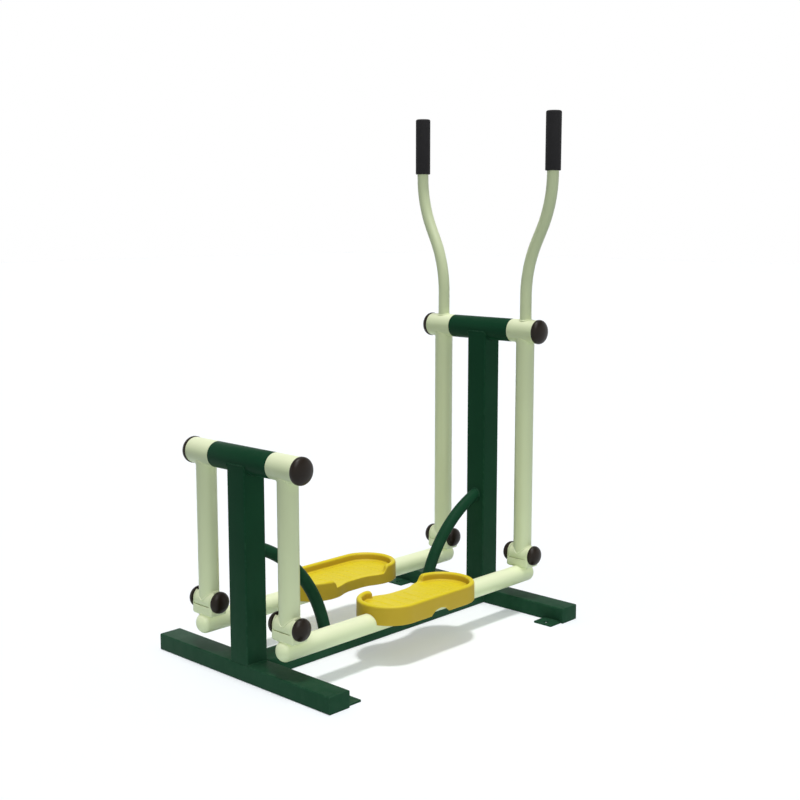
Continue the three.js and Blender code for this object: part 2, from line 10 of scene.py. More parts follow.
# %% Load the CAD frame
import json
import math

import bmesh
import bpy
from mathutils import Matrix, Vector, geometry

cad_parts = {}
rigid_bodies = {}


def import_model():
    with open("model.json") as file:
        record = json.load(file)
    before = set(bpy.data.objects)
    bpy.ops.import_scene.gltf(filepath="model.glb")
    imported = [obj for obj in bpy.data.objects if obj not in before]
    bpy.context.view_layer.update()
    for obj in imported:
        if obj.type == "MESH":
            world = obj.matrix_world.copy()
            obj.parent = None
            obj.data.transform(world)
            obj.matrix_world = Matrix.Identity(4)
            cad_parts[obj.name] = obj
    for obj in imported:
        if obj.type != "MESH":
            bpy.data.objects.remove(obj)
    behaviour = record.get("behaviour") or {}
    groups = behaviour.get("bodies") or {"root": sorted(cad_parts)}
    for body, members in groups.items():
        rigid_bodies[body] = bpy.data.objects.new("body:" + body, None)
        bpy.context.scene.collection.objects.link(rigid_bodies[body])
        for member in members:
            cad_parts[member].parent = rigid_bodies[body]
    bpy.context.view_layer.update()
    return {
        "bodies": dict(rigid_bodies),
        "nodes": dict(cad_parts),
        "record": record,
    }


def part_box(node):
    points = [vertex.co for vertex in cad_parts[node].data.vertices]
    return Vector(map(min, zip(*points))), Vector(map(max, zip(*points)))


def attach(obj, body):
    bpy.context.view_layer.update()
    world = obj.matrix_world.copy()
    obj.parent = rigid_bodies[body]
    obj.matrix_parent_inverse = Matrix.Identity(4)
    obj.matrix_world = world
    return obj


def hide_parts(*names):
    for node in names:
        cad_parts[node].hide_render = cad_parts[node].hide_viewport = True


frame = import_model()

MM = 0.001


def placed(name, data):
    """A new object in the scene that shows a mesh, a camera or a lamp."""
    obj = bpy.data.objects.new(name, data)
    bpy.context.scene.collection.objects.link(obj)
    return obj


# %% [markdown]
# ## Where things are
#
# A skin has to sit exactly where its solid sits. Typing all the places again would invite slips,
# so they are read from the boxes of the CAD nodes, and each skin takes its moving body and its
# finish from the record by the name of the node that it stands for.

# %% Places and owners of the CAD nodes
record = frame["record"]
body_of_node = {node: body for body, nodes in record["behaviour"]["bodies"].items() for node in nodes}
finish_of_node = {row["node"]: row["material_slot"] for row in record["subparts"]}


def span(node):
    """Lowest and highest corner of a CAD node, in millimetres."""
    low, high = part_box(node)
    return low / MM, high / MM


def middle(node):
    low, high = span(node)
    return (low + high) / 2


HANDS = {"left": 1, "right": -1}
ENDS = {"rear": 1, "front": -1}
arm_y = middle("front_left_pivot_pin").y
hub_z = {end: middle(f"{end}_axle_shaft").z for end in ENDS}
axle_x = {end: middle(f"{end}_axle_shaft").x for end in ENDS}
pivot_z = middle("front_left_pivot_pin").z
print("axles at x, z:", [(round(axle_x[end]), round(hub_z[end])) for end in ENDS])
print("pivots at z:", round(pivot_z))

# %% [markdown]
# ## The camera
#
# The photograph was taken from the rear right, a little above the hubs, with a mild lens. The
# place was worked out from the round hubs and the corners of the base. A camera can be turned with
# three angles, but pointing it at a target keeps the verticals easy to check.

# %% Camera
CAMERA_PLACE = Vector((-2.7277, -2.6840, 1.3112))
CAMERA_TARGET = Vector((0.1109, 0.0, 0.7371))
SENSOR_WIDTH, LENS = 36, 56.35
camera = placed("camera", bpy.data.cameras.new("camera"))
camera.data.sensor_width = SENSOR_WIDTH
camera.data.lens = LENS
camera.location = CAMERA_PLACE
camera.rotation_euler = (CAMERA_TARGET - CAMERA_PLACE).to_track_quat("-Z", "Y").to_euler()
bpy.context.scene.camera = camera
print("camera is", round((CAMERA_TARGET - CAMERA_PLACE).length, 2), "m from what it looks at")

# %% [markdown]
# ## Shader groups that the finishes share
#
# Paint, plastic and rubber differ in colour and gloss, but they age and are made in the same few
# ways: a fine surface grain, edges that are rubbed a little lighter, a film of dust on what faces
# up, and tone and gloss that are never quite even. Three more groups paint light and shade into the
# colour: tops painted lighter where the light falls on them (darker for the green paint), painted
# reflected light low down near the ground, and painted shade in corners and recesses, with a little
# grime in the seams. Each effect is one node group with named sockets, so that a material only
# says how much of it there is. Painting maps by hand would do it too, but noise in object space
# needs no unwrapping and follows the parts when they swing.

# %% Helpers that make node groups
GREY = (0.5, 0.5, 0.5, 1)


def socket_kind(label):
    return "NodeSocketColor" if label.lower().endswith("color") else "NodeSocketFloat"


def new_group(name, inputs, outputs):
    """A node group's tree, what it is given and what it hands back. inputs is {label: start value}."""
    tree = bpy.data.node_groups.new(name, "ShaderNodeTree")
    for label, value in inputs.items():
        socket = tree.interface.new_socket(label, in_out="INPUT", socket_type=socket_kind(label))
        socket.default_value = value
    for label in outputs:
        tree.interface.new_socket(label, in_out="OUTPUT", socket_type=socket_kind(label))
    return tree, tree.nodes.new("NodeGroupInput").outputs, tree.nodes.new("NodeGroupOutput").inputs


def add(tree, kind, values=(), **settings):
    """A node with its settings and the values of its inputs, which may be links."""
    node = tree.nodes.new("ShaderNode" + kind)
    for name, value in settings.items():
        setattr(node, name, value)
    for socket, value in dict(values).items():
        if isinstance(value, bpy.types.NodeSocket):
            tree.links.new(value, node.inputs[socket])
        else:
            node.inputs[socket].default_value = value
    return node


def noise(tree, scale, detail=2.0, stretch=(1, 1, 1), rough=0.5):
    """Noise in object space. scale is in waves per metre."""
    place = add(tree, "TexCoord").outputs["Object"]
    sized = add(tree, "Mapping", {"Vector": place, "Scale": stretch})
    values = {"Vector": sized.outputs[0], "Scale": scale, "Detail": detail, "Roughness": rough}
    return add(tree, "TexNoise", values).outputs["Fac"]


def ramp(tree, value, low, high, to_low=0.0, to_high=1.0):
    """A soft change from to_low to to_high while the value goes from low to high."""
    values = {"Value": value, "From Min": low, "From Max": high, "To Min": to_low, "To Max": to_high}
    return add(tree, "MapRange", values, interpolation_type="SMOOTHSTEP").outputs[0]


def mix(tree, factor, first, second, blend="MIX"):
    values = {"Factor": factor, 6: first, 7: second}
    return add(tree, "Mix", values, data_type="RGBA", blend_type=blend).outputs[2]


def combine(tree, first, second, operation="MULTIPLY"):
    """One number from two, by multiplying them unless another operation is named."""
    return add(tree, "Math", {0: first, 1: second}, operation=operation).outputs[0]


def axis_z(tree, kind, output):
    """The Z part of what a node gives, such as a normal or a place."""
    return add(tree, "SeparateXYZ", {0: add(tree, kind).outputs[output]}).outputs["Z"]


# %% Uneven tone and gloss
uneven_tone, given, result = new_group(
    "uneven_tone", {"Color": GREY, "Patches per metre": 8, "Strength": 0.1}, ["Color"])
patches = ramp(uneven_tone, noise(uneven_tone, given["Patches per metre"], detail=3), 0.3, 0.7)
shade = mix(uneven_tone, patches, (0.72, 0.72, 0.72, 1), (1, 1, 1, 1))
toned = mix(uneven_tone, given["Strength"], given["Color"], shade, "MULTIPLY")
uneven_tone.links.new(toned, result["Color"])

uneven_gloss, given, result = new_group(
    "uneven_gloss", {"Roughness": 0.4, "Spread": 0.1, "Patches per metre": 30}, ["Roughness"])
smears = noise(uneven_gloss, given["Patches per metre"], detail=4, stretch=(1, 1, 0.35))
swing = combine(uneven_gloss, combine(uneven_gloss, smears, 0.5, "SUBTRACT"), given["Spread"])
uneven_gloss.links.new(combine(uneven_gloss, swing, given["Roughness"], "ADD"), result["Roughness"])
print("shader groups so far:", [tree.name for tree in bpy.data.node_groups])

# %% [markdown]
# Rubbed edges need to know where an edge is. A bevel node can find edges while rendering, but it
# is slow. Each mesh therefore carries an attribute named edge, which is worked out from how
# sharply the surface turns when the mesh is made, and the group breaks it up with noise. Dust and
# the painted light on tops go by the direction that the surface faces, the painted reflection low
# down by its height over the ground, and the painted shade in corners, with its grime, by how closed
# in a place is, which the Ambient Occlusion node measures within a given reach.

# %% Rubbed edges, settled dust and painted reflection low down
def lay_over(tree, given, result, mask, label):
    """Lay the colour of a label over the given colour, as far as a mask and the amount say."""
    share = combine(tree, mask, given["Amount"])
    tree.links.new(mix(tree, share, given["Color"], given[label]), result["Color"])
    return share


edge_wear, given, result = new_group(
    "edge_wear", {"Color": GREY, "Worn color": (0.8, 0.8, 0.8, 1), "Amount": 0.4}, ["Color"])
edge_value = add(edge_wear, "Attribute", attribute_name="edge").outputs["Fac"]
gaps = ramp(edge_wear, noise(edge_wear, 90, detail=5), 0.42, 0.66)
lay_over(edge_wear, given, result, combine(edge_wear, edge_value, gaps), "Worn color")

settled_dust, given, result = new_group(
    "settled_dust", {"Color": GREY, "Dust color": (0.55, 0.52, 0.45, 1), "Amount": 0.2}, ["Color", "Mask"])
upward = ramp(settled_dust, axis_z(settled_dust, "NewGeometry", "Normal"), 0.35, 1.0)
film = ramp(settled_dust, noise(settled_dust, 45, detail=6, rough=0.7), 0.35, 0.8)
film_above = combine(settled_dust, upward, film)
dust_share = lay_over(settled_dust, given, result, film_above, "Dust color")
settled_dust.links.new(dust_share, result["Mask"])

# Painted reflection: a light grey laid over low surfaces, fading out by half a metre up, stands in for
# light thrown back from the white ground.
painted_low_reflection, given, result = new_group(
    "painted_low_reflection", {"Color": GREY, "Reflection color": (0.4, 0.42, 0.4, 1), "Amount": 0.1}, ["Color"])
low_down = ramp(painted_low_reflection, axis_z(painted_low_reflection, "TexCoord", "Object"), 0.05, 0.5, 1.0, 0.0)
reflection_breakup = ramp(painted_low_reflection, noise(painted_low_reflection, 35, detail=6, stretch=(1, 1, 0.5), rough=0.65), 0.1, 0.8)
lay_over(painted_low_reflection, given, result, combine(painted_low_reflection, low_down, reflection_breakup), "Reflection color")
print("shader groups so far:", [tree.name for tree in bpy.data.node_groups])

# %% Painted corner shade with grime, painted light on tops, and grain
# Painted shade: the Ambient Occlusion node darkens corners, creases and recesses, where shade falls,
# towards the shade colour; a little of it stands for grime in seams.
corner_shade_and_grime, given, result = new_group(
    "corner_shade_and_grime",
    {"Color": GREY, "Grime color": (0.2, 0.18, 0.14, 1), "Reach in metres": 0.02, "Amount": 0.3}, ["Color"])
openness = add(corner_shade_and_grime, "AmbientOcclusion", {"Distance": given["Reach in metres"]}, samples=8)
corner_shade_mask = ramp(corner_shade_and_grime, openness.outputs["AO"], 0.3, 0.95, 1.0, 0.0)
lay_over(corner_shade_and_grime, given, result, corner_shade_mask, "Grime color")

# Painted light: surfaces that face up take a second colour, lighter where the light falls on them (darker
# for the green paint).
painted_top_light, given, result = new_group(
    "painted_top_light", {"Color": GREY, "Faded color": (0.6, 0.6, 0.6, 1)}, ["Color"])
top_light_mask = ramp(painted_top_light, axis_z(painted_top_light, "NewGeometry", "Normal"), 0.1, 0.85)
painted_top_light.links.new(mix(painted_top_light, top_light_mask, given["Color"], given["Faded color"]), result["Color"])

fine_grain, given, result = new_group(
    "fine_grain", {"Grains per metre": 900, "Coarse share": 0.3}, ["Height"])
fine = noise(fine_grain, given["Grains per metre"])
coarse_scale = combine(fine_grain, given["Grains per metre"], 0.22)
coarse = combine(fine_grain, noise(fine_grain, coarse_scale), given["Coarse share"])
fine_grain.links.new(combine(fine_grain, fine, coarse, "ADD"), result["Height"])
print("shader groups:", [tree.name for tree in bpy.data.node_groups])

# %% [markdown]
# ## The finishes
#
# One function wires the groups to a Principled shader, because all the finishes pass through the
# same steps in the same order: painted light on tops, patches, rubbed edges, painted reflection low
# down, painted corner shade with grime, dust, then gloss and grain. What differs is the numbers.
# Powder paint has a soft orange-peel grain about a millimetre across; moulded plastic is finer;
# rubber has a tight, deep grain and hardly any shine.

# %% One function for all the finishes
def rgb(red, green, blue):
    """A colour as it is seen on screen, 0 to 255, turned into the linear light that shaders use."""
    linear = [value / 255 / 12.92 if value <= 10 else ((value / 255 + 0.055) / 1.055) ** 2.4
              for value in (red, green, blue)]
    return (*linear, 1)


def finish(name, color, top_light_color, worn, shade_and_grime, roughness, grains, depth, spread=0.12, coarse=0.3, tone=0.12,
           patches=8, wear=0.3, dust=0.03, low_reflection=0.0, reach=0.015, shade_and_grime_amount=0.3, specular=0.5):
    """A material from its colours, its gloss, its grains per metre and their depth in metres."""
    material = bpy.data.materials.new(name)
    material.use_nodes = True
    tree = material.node_tree
    shader = tree.nodes["Principled BSDF"]

    def use(group, **values):
        inputs = {label.replace("_", " "): value for label, value in values.items()}
        return add(tree, "Group", inputs, node_tree=group)

    # Painted light: tops coloured lighter than the sides.
    lighter = use(painted_top_light, Color=color, Faded_color=top_light_color)
    toned = use(uneven_tone, Color=lighter.outputs[0], Patches_per_metre=patches, Strength=tone)
    rubbed = use(edge_wear, Color=toned.outputs[0], Worn_color=worn, Amount=wear)
    # Painted reflection of the ground on the low parts.
    with_low_reflection = use(painted_low_reflection, Color=rubbed.outputs[0], Amount=low_reflection)
    # Painted shade in corners and recesses, with a little grime.
    cornered = use(corner_shade_and_grime, Color=with_low_reflection.outputs[0], Grime_color=shade_and_grime, Reach_in_metres=reach,
                   Amount=shade_and_grime_amount)
    dusted = use(settled_dust, Color=cornered.outputs[0], Amount=dust)
    glossed = use(uneven_gloss, Roughness=roughness, Spread=spread)
    grained = use(fine_grain, Grains_per_metre=grains, Coarse_share=coarse)
    dull = {0: dusted.outputs["Mask"], 1: glossed.outputs[0]}
    dulled = add(tree, "Math", dull, operation="ADD", use_clamp=True)
    bump = add(tree, "Bump", {"Height": grained.outputs[0], "Distance": depth, "Strength": 0.6})
    tree.links.new(dusted.outputs["Color"], shader.inputs["Base Color"])
    tree.links.new(dulled.outputs[0], shader.inputs["Roughness"])
    tree.links.new(bump.outputs[0], shader.inputs["Normal"])
    shader.inputs["Specular IOR Level"].default_value = specular
    return material


# %% The six finishes
finishes = {
    # Only the green paint takes the painted reflection low down.
    "green_paint": finish(
        "green_paint", rgb(26, 70, 47), rgb(22, 66, 43), rgb(62, 98, 78), rgb(16, 36, 26), roughness=0.42,
        grains=700, depth=0.00012, tone=0.35, wear=0.35, dust=0.015, low_reflection=0.025, specular=0.035),
    "cream_paint": finish(
        "cream_paint", rgb(229, 241, 195), rgb(243, 250, 210), rgb(242, 246, 220), rgb(176, 184, 138),
        roughness=0.34, grains=700, depth=0.00012, tone=0.06, dust=0.04),
    "cap_plastic": finish(
        "cap_plastic", rgb(33, 25, 17), rgb(38, 30, 23), rgb(84, 76, 68), rgb(24, 19, 15), roughness=0.36,
        grains=1300, depth=0.00008, tone=0.4, patches=30, wear=0.45, specular=0.22),
    "grip_rubber": finish(
        "grip_rubber", rgb(44, 43, 45), rgb(50, 49, 50), rgb(68, 67, 69), rgb(24, 24, 25), roughness=0.72,
        grains=1600, depth=0.00025, spread=0.15, coarse=0.6, tone=0.4, patches=40, wear=0.4, specular=0.2),
    # The tray's deep orange-brown corner colour is painted shade, strongest on the rim's inner wall and
    # where floor and rim meet.
    "tray_plastic": finish(
        "tray_plastic", rgb(199, 170, 42), rgb(229, 208, 31), rgb(240, 230, 110), rgb(160, 122, 20),
        roughness=0.5, grains=1100, depth=0.0001, spread=0.2, tone=0.1, patches=14, wear=0.4, dust=0.04,
        reach=0.035, shade_and_grime_amount=0.8, specular=0.3),
    "bare_steel": finish(
        "bare_steel", rgb(150, 152, 155), rgb(150, 152, 155), rgb(200, 200, 202), rgb(90, 84, 78),
        roughness=0.35, grains=2200, depth=0.00005, spread=0.2, tone=0.2, wear=0.2, dust=0.0),
}
finishes["bare_steel"].node_tree.nodes["Principled BSDF"].inputs["Metallic"].default_value = 1.0
print("finishes:", sorted(finishes))

# %% [markdown]
# Every CAD node gets its real finish straight away. Most of them are then hidden behind a finer
# skin, but the shafts, bearings and pins stay as they are, because they are closed in.

# %% Finish the CAD nodes
for node, obj in frame["nodes"].items():
    obj.data.materials.clear()
    obj.data.materials.append(finishes[finish_of_node[node]])
print(len(frame["nodes"]), "CAD nodes finished")

# %% [markdown]
# ## From points to a skin
#
# A shape arrives as a list of corners and a list of faces. The helper below cleans it, closes the
# poles of turned shapes, shades it smooth except at sharp corners, and stores the edge attribute
# that the paint reads. Blender's own modifiers could bevel and smooth, but points that are placed
# by the drawing give clean rims with no stray faces.

# %% Skin helper
SHARP_TURN = math.radians(38)
EDGE_START, EDGE_FULL = 90, 420  # how sharply a surface turns, in radians per metre
SAME_PLACE, NO_LENGTH, NARROWEST = 2e-6, 1e-6, 2e-4  # metres


def mark_edges(mesh, work):
    """Store at each corner how much of an edge it is, from 0 on flat ground to 1 on a tight ridge."""
    turn = [0.0] * len(work.verts)
    for edge in work.edges:
        if len(edge.link_faces) != 2:
            continue
        width = sum(face.calc_area() for face in edge.link_faces) / max(2 * edge.calc_length(), NO_LENGTH)
        bend = edge.calc_face_angle_signed(0.0) / max(width, NARROWEST)
        for vert in edge.verts:
            turn[vert.index] = max(turn[vert.index], bend)
    attribute = mesh.attributes.new("edge", "FLOAT", "POINT")
    share = [min(max((bend - EDGE_START) / (EDGE_FULL - EDGE_START), 0.0), 1.0) for bend in turn]
    attribute.data.foreach_set("value", share)


def make_piece(name, shape, body, slot, replaced=()):
    """A named mesh from (points in millimetres, faces), riding on a body."""
    points, faces = shape
    mesh = bpy.data.meshes.new(name)
    mesh.from_pydata([Vector(point) * MM for point in points], [], faces)
    work = bmesh.new()
    work.from_mesh(mesh)
    bmesh.ops.remove_doubles(work, verts=work.verts, dist=SAME_PLACE)
    bmesh.ops.dissolve_degenerate(work, edges=work.edges, dist=NO_LENGTH)
    bmesh.ops.recalc_face_normals(work, faces=work.faces)
    work.to_mesh(mesh)
    work.verts.index_update()
    mark_edges(mesh, work)
    work.free()
    mesh.shade_smooth()
    mesh.set_sharp_from_angle(angle=SHARP_TURN)
    obj = placed(name, mesh)
    mesh.materials.append(finishes[slot])
    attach(obj, body)
    if replaced:
        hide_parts(*replaced)
    return obj


def skin(node, shape):
    """A finer skin for one CAD node."""
    return make_piece(f"{node}_skin", shape, body_of_node[node], finish_of_node[node], [node])


# %% [markdown]
# Most of the shapes are rings of points that follow each other, along a tube or inwards over a
# tray. Joining each ring to the next gives clean four-sided faces.

# %% Rings of points
def grid(rows, size, closed=False):
    """Faces from each ring of points to the next, and where closed from the last ring to the first."""
    faces = []
    for row in range(rows if closed else rows - 1):
        a, b = row * size, (row + 1) % rows * size
        faces += [(a + i, a + (i + 1) % size, b + (i + 1) % size, b + i) for i in range(size)]
    return faces


def capped(rows, size):
    """The same faces, with a flat one that closes each end."""
    return grid(rows, size) + [tuple(range(size)), tuple(rows * size - 1 - i for i in range(size))]


def circle(radius, count):
    angles = [2 * math.pi * i / count for i in range(count)]
    return [(radius * math.cos(angle), radius * math.sin(angle)) for angle in angles]


def flipped(points, x=1, y=1):
    """Points in reverse order, mirrored where x or y is -1. They close a half outline."""
    return [Vector((x * p.x, y * p.y)) for p in reversed(points)]


def joined(*shapes):
    points, faces = [], []
    for more_points, more_faces in shapes:
        start = len(points)
        points += more_points
        faces += [tuple(start + index for index in face) for face in more_faces]
    return points, faces


# %% [markdown]
# ### Rounding corners
#
# Steel sections, caps and bushes have no knife edges. A corner is written with its radius and
# turned into a short arc here, which is how a draughtsman would note it, and the same helper serves
# turned profiles and flat outlines.

# %% Arcs and rounded corners
def arc(radius, start, end, centre=(0, 0), steps=12):
    """Points on an arc from one angle to another, in degrees."""
    angles = [math.radians(start + (end - start) * k / steps) for k in range(steps + 1)]
    return [Vector(centre) + radius * Vector((math.cos(a), math.sin(a))) for a in angles]


def rounded(corners, closed=False, steps=4):
    """Corners as (x, y, radius) turned into points, with an arc at each corner that has a radius."""
    points = []
    count = len(corners)
    for i, (x, y, radius) in enumerate(corners):
        here = Vector((x, y))
        if radius <= 0 or (not closed and i in (0, count - 1)):
            points.append(here)
            continue
        back = Vector(corners[i - 1][:2]) - here
        ahead = Vector(corners[(i + 1) % count][:2]) - here
        half = back.angle(ahead) / 2
        reach = min(radius / math.tan(half), 0.49 * back.length, 0.49 * ahead.length)
        centre = here + (back.normalized() + ahead.normalized()).normalized() * (reach / math.cos(half))
        start = here + back.normalized() * reach - centre
        end = here + ahead.normalized() * reach - centre
        first = math.atan2(start.y, start.x)
        turn = (math.atan2(end.y, end.x) - first + math.pi) % (2 * math.pi) - math.pi
        for k in range(steps + 1):
            angle = first + turn * k / steps
            points.append(centre + start.length * Vector((math.cos(angle), math.sin(angle))))
    return points


def rectangle(width, height, corner, x=0.0, y=0.0):
    right, top = width / 2, height / 2
    signs = [(1, 1), (-1, 1), (-1, -1), (1, -1)]
    return rounded([(x + sx * right, y + sy * top, corner) for sx, sy in signs], closed=True, steps=6)


# %% [markdown]
# ### Turned shapes
#
# Hubs, caps, barrels, grips and bars are round, so one profile is spun into a skin. A screw
# modifier does the same, but a function keeps the profile next to the piece that it makes. The
# profile lists radius and place along the axis.

# %% Turned shapes
ROUND_SIDES = 64


def turned(profile, centre, axis="Y", closed=False):
    points = []
    for radius, along in profile:
        for u, v in circle(radius, ROUND_SIDES):
            place = {"X": (along, u, v), "Y": (u, along, v), "Z": (u, v, along)}[axis]
            points.append(Vector(centre) + Vector(place))
    return points, grid(len(profile), ROUND_SIDES, closed)


def domed(radius, start, rim, height, direction, steps=14, seat_round=1.2):
    """The profile of a domed cap, from its seat at start outwards."""
    corners = [(0, start, 0), (radius, start, seat_round), (radius, start + direction * rim, 0)]
    crown = []
    for k in range(1, steps + 1):
        angle = math.pi / 2 * k / steps
        along = start + direction * (rim + height * math.sin(angle))
        crown.append(Vector((radius * math.cos(angle) if k < steps else 0, along)))
    return rounded(corners, steps=3) + crown


# %% [markdown]
# ### Flat plates and sections
#
# Plates, fork ears, square tubes and ribs are outlines with a thickness. The outline is filled and
# pushed out, and its rim is rounded in a few steps, as tumbling or grinding leaves it. The outer
# outline runs counter-clockwise and holes run clockwise, so that the rounding always goes into the
# metal.

# %% Plates with rounded rims
def area_of(loop):
    return sum(a.x * b.y - b.x * a.y for a, b in zip(loop, loop[1:] + loop[:1])) / 2


def moved_in(loop, distance):
    """Each point of a loop moved to the left of its direction, along the line that halves its corner."""
    points = []
    for i, here in enumerate(loop):
        before = (here - loop[i - 1]).normalized()
        after = (loop[(i + 1) % len(loop)] - here).normalized()
        normal = Vector((-before.y - after.y, before.x + after.x)).normalized()
        lean = max(normal.dot(Vector((-before.y, before.x))), 0.5)
        points.append(here + normal * distance / lean)
    return points


def filled(loops):
    """Triangles that fill an outline with holes, as numbers of its points."""
    return geometry.tessellate_polygon([[Vector((p.x, p.y, 0)) for p in loop] for loop in loops])


def slab(loops, low, high, rim, put, steps=3):
    """A plate from outlines in two directions and a thickness in the third. put places (u, v, w)."""
    loops = [list(loop) for loop in loops]
    for i, loop in enumerate(loops):
        if (area_of(loop) > 0) != (i == 0):
            loop.reverse()
    ring_sizes = [len(loop) for loop in loops]
    sections = []
    for k in range(steps + 1):
        angle = math.pi / 2 * k / steps
        sections.append((rim * (1 - math.sin(angle)), low + rim * (1 - math.cos(angle))))
    sections += [(distance, low + high - w) for distance, w in reversed(sections)]
    points, faces = [], []
    for distance, w in sections:
        for loop in loops:
            points += [put(point.x, point.y, w) for point in moved_in(loop, distance)]
    total = sum(ring_sizes)
    for row in range(len(sections) - 1):
        start = row * total
        for size in ring_sizes:
            for i in range(size):
                j = (i + 1) % size
                faces.append((start + i, start + j, start + total + j, start + total + i))
            start += size
    for triangle in filled([moved_in(loop, rim) for loop in loops]):
        faces.append(tuple(triangle))
        faces.append(tuple((len(sections) - 1) * total + index for index in reversed(triangle)))
    return points, faces


# %% [markdown]
# ### Upright tubes that are coped onto round ones
#
# Arms and posts end in a cope, the curved cut that lets a tube sit on a round one. Cutting it with
# a boolean leaves ragged triangles. A cope across a tube that lies along Y only depends on x, so
# each point of the rim can be lifted or dropped to the right height by a formula.

# %% Coped uprights
FIT = 0.3  # the gap that the CAD leaves between welded pieces


def cope(radius, height, sign):
    """Height of the surface of a round tube along Y, above (+1) or below (-1) its axis."""
    reach = radius + FIT
    return lambda x: height + sign * math.sqrt(max(reach * reach - x * x, 0.0))


def upright(half_outline, centre, low, high):
    """A tube from half an outline, (x, y) from +x to -x with y at or above 0, between two end heights."""
    ring = half_outline + flipped(half_outline, y=-1)
    size = len(ring)
    points = [(centre.x + p.x, centre.y + p.y, height(p.x)) for height in (low, high) for p in ring]
    faces = grid(2, size)
    for i in range(len(half_outline) - 1):
        a, b, c, d = i, i + 1, size - 2 - i, size - 1 - i
        faces += [(a, b, c, d), (size + d, size + c, size + b, size + a)]
    return points, faces


# %% [markdown]
# ### Weld beads
#
# Every joint between two tubes is welded and then painted over, which leaves a low rippled bead in
# the corner. A bead is a thin round swept along the joint, and the ripples are waves in its radius.
# They are drawn in geometry and not in bump, because they catch the light along the seam.

# %% Weld beads
BEAD_SIDES, BEAD_STEP = 8, 1.5
RIPPLE_LENGTH, RIPPLE_SHARE = 4.5, 0.09
UPRIGHT, END_SHARE = 0.9, 0.08


def evenly(path, closed):
    """The same path with points at even steps."""
    points = [Vector(p) for p in path]
    if closed:
        points.append(points[0])
    lengths = [0.0]
    for a, b in zip(points, points[1:]):
        lengths.append(lengths[-1] + (b - a).length)
    count = max(int(lengths[-1] / BEAD_STEP), 4)
    even, k = [], 0
    for i in range(count if closed else count + 1):
        want = lengths[-1] * i / count
        while k < len(points) - 2 and lengths[k + 1] < want:
            k += 1
        step = lengths[k + 1] - lengths[k]
        share = min((want - lengths[k]) / step, 1.0) if step else 0.0
        even.append(points[k].lerp(points[k + 1], share))
    return even


def bead(path, size, closed):
    """A rippled round of a given radius along a path. Open beads run out at both ends."""
    line = evenly(path, closed)
    count = len(line)
    points = []
    for i, here in enumerate(line):
        before = line[i - 1] if closed or i else here
        after = line[(i + 1) % count] if closed or i < count - 1 else here
        along = (after - before).normalized()
        aside = along.orthogonal() if abs(along.z) > UPRIGHT else along.cross(Vector((0, 0, 1)))
        first = aside.normalized()
        second = along.cross(first)
        radius = size * (1 + RIPPLE_SHARE * math.cos(2 * math.pi * i * BEAD_STEP / RIPPLE_LENGTH))
        end = min(i, count - 1 - i) * BEAD_STEP / size
        if not closed and end < 1:
            radius *= math.sqrt(min(END_SHARE + end * (2 - end), 1.0))
        points += [here + first * u + second * v for u, v in circle(radius, BEAD_SIDES)]
    return points, grid(count, BEAD_SIDES, True) if closed else capped(count, BEAD_SIDES)


beads = {body: [] for body in frame["bodies"]}


def weld(body, path, size, closed=True):
    """Lay a bead of a given radius along a path, for a moving body."""
    beads[body].append(bead(path, size, closed))


print("bodies:", sorted(beads))

# %% [markdown]
# ## The base
#
# The base is cold-formed square tube: it has a small outside radius along its length and closed
# ends, ground smooth before painting. The section is drawn as a rounded rectangle and pushed out
# as one plate, with a tiny rim at the ends.

# %% Cross tubes and spine
TUBE_CORNER = 4
END_RIM, SPINE_RIM = 1.0, 0.1


def along_x(u, v, w):
    return (w, u, v)


def along_y(u, v, w):
    return (u, w, v)


for end in ENDS:
    low, high = span(f"{end}_cross_tube")
    section = rectangle(high.x - low.x, high.z, TUBE_CORNER, (low.x + high.x) / 2, high.z / 2)
    skin(f"{end}_cross_tube", slab([section], low.y, high.y, END_RIM, along_y))
base_top = span("rear_cross_tube")[1].z
spine_low, spine_high = span("spine_tube")
section = rectangle(spine_high.y - spine_low.y, spine_high.z, TUBE_CORNER, 0, spine_high.z / 2)
skin("spine_tube", slab([section], spine_low.x, spine_high.x, SPINE_RIM, along_x))
side = spine_high.y
for x in (spine_low.x, spine_high.x):
    for y in (-side, side):
        weld("frame", [(x, y, TUBE_CORNER), (x, y, base_top - TUBE_CORNER)], 2.4, closed=False)
    top_seam = [(x, -side + TUBE_CORNER, base_top), (x, side - TUBE_CORNER, base_top)]
    weld("frame", top_seam, 1.3, closed=False)
print("base is", round(base_top), "mm high and the spine", round(2 * spine_high.y), "mm wide")

# %% [markdown]
# ## The posts
#
# Each post is square tube that stands on its cross tube and is coped to the round axle tube at its
# top. The coped end is worked out from the axle's radius, so the skin closes on the axle all the
# way round, and the bead follows the same curve.

# %% Posts
SEAM_END, SEAM_SINK, CURVE_STEPS = 3, 1, 40


def half_square(size, corner, steps=6, across=24):
    """Half of a rounded square, from +x to -x, with points across its flat side for the cope."""
    half, flat = size / 2, size / 2 - corner
    points = [Vector((half, 0.0))] + arc(corner, 0, 90, (flat, flat), steps)
    points += [Vector((flat - 2 * flat * k / across, half)) for k in range(1, across)]
    return points + flipped(points[:steps + 2], x=-1)


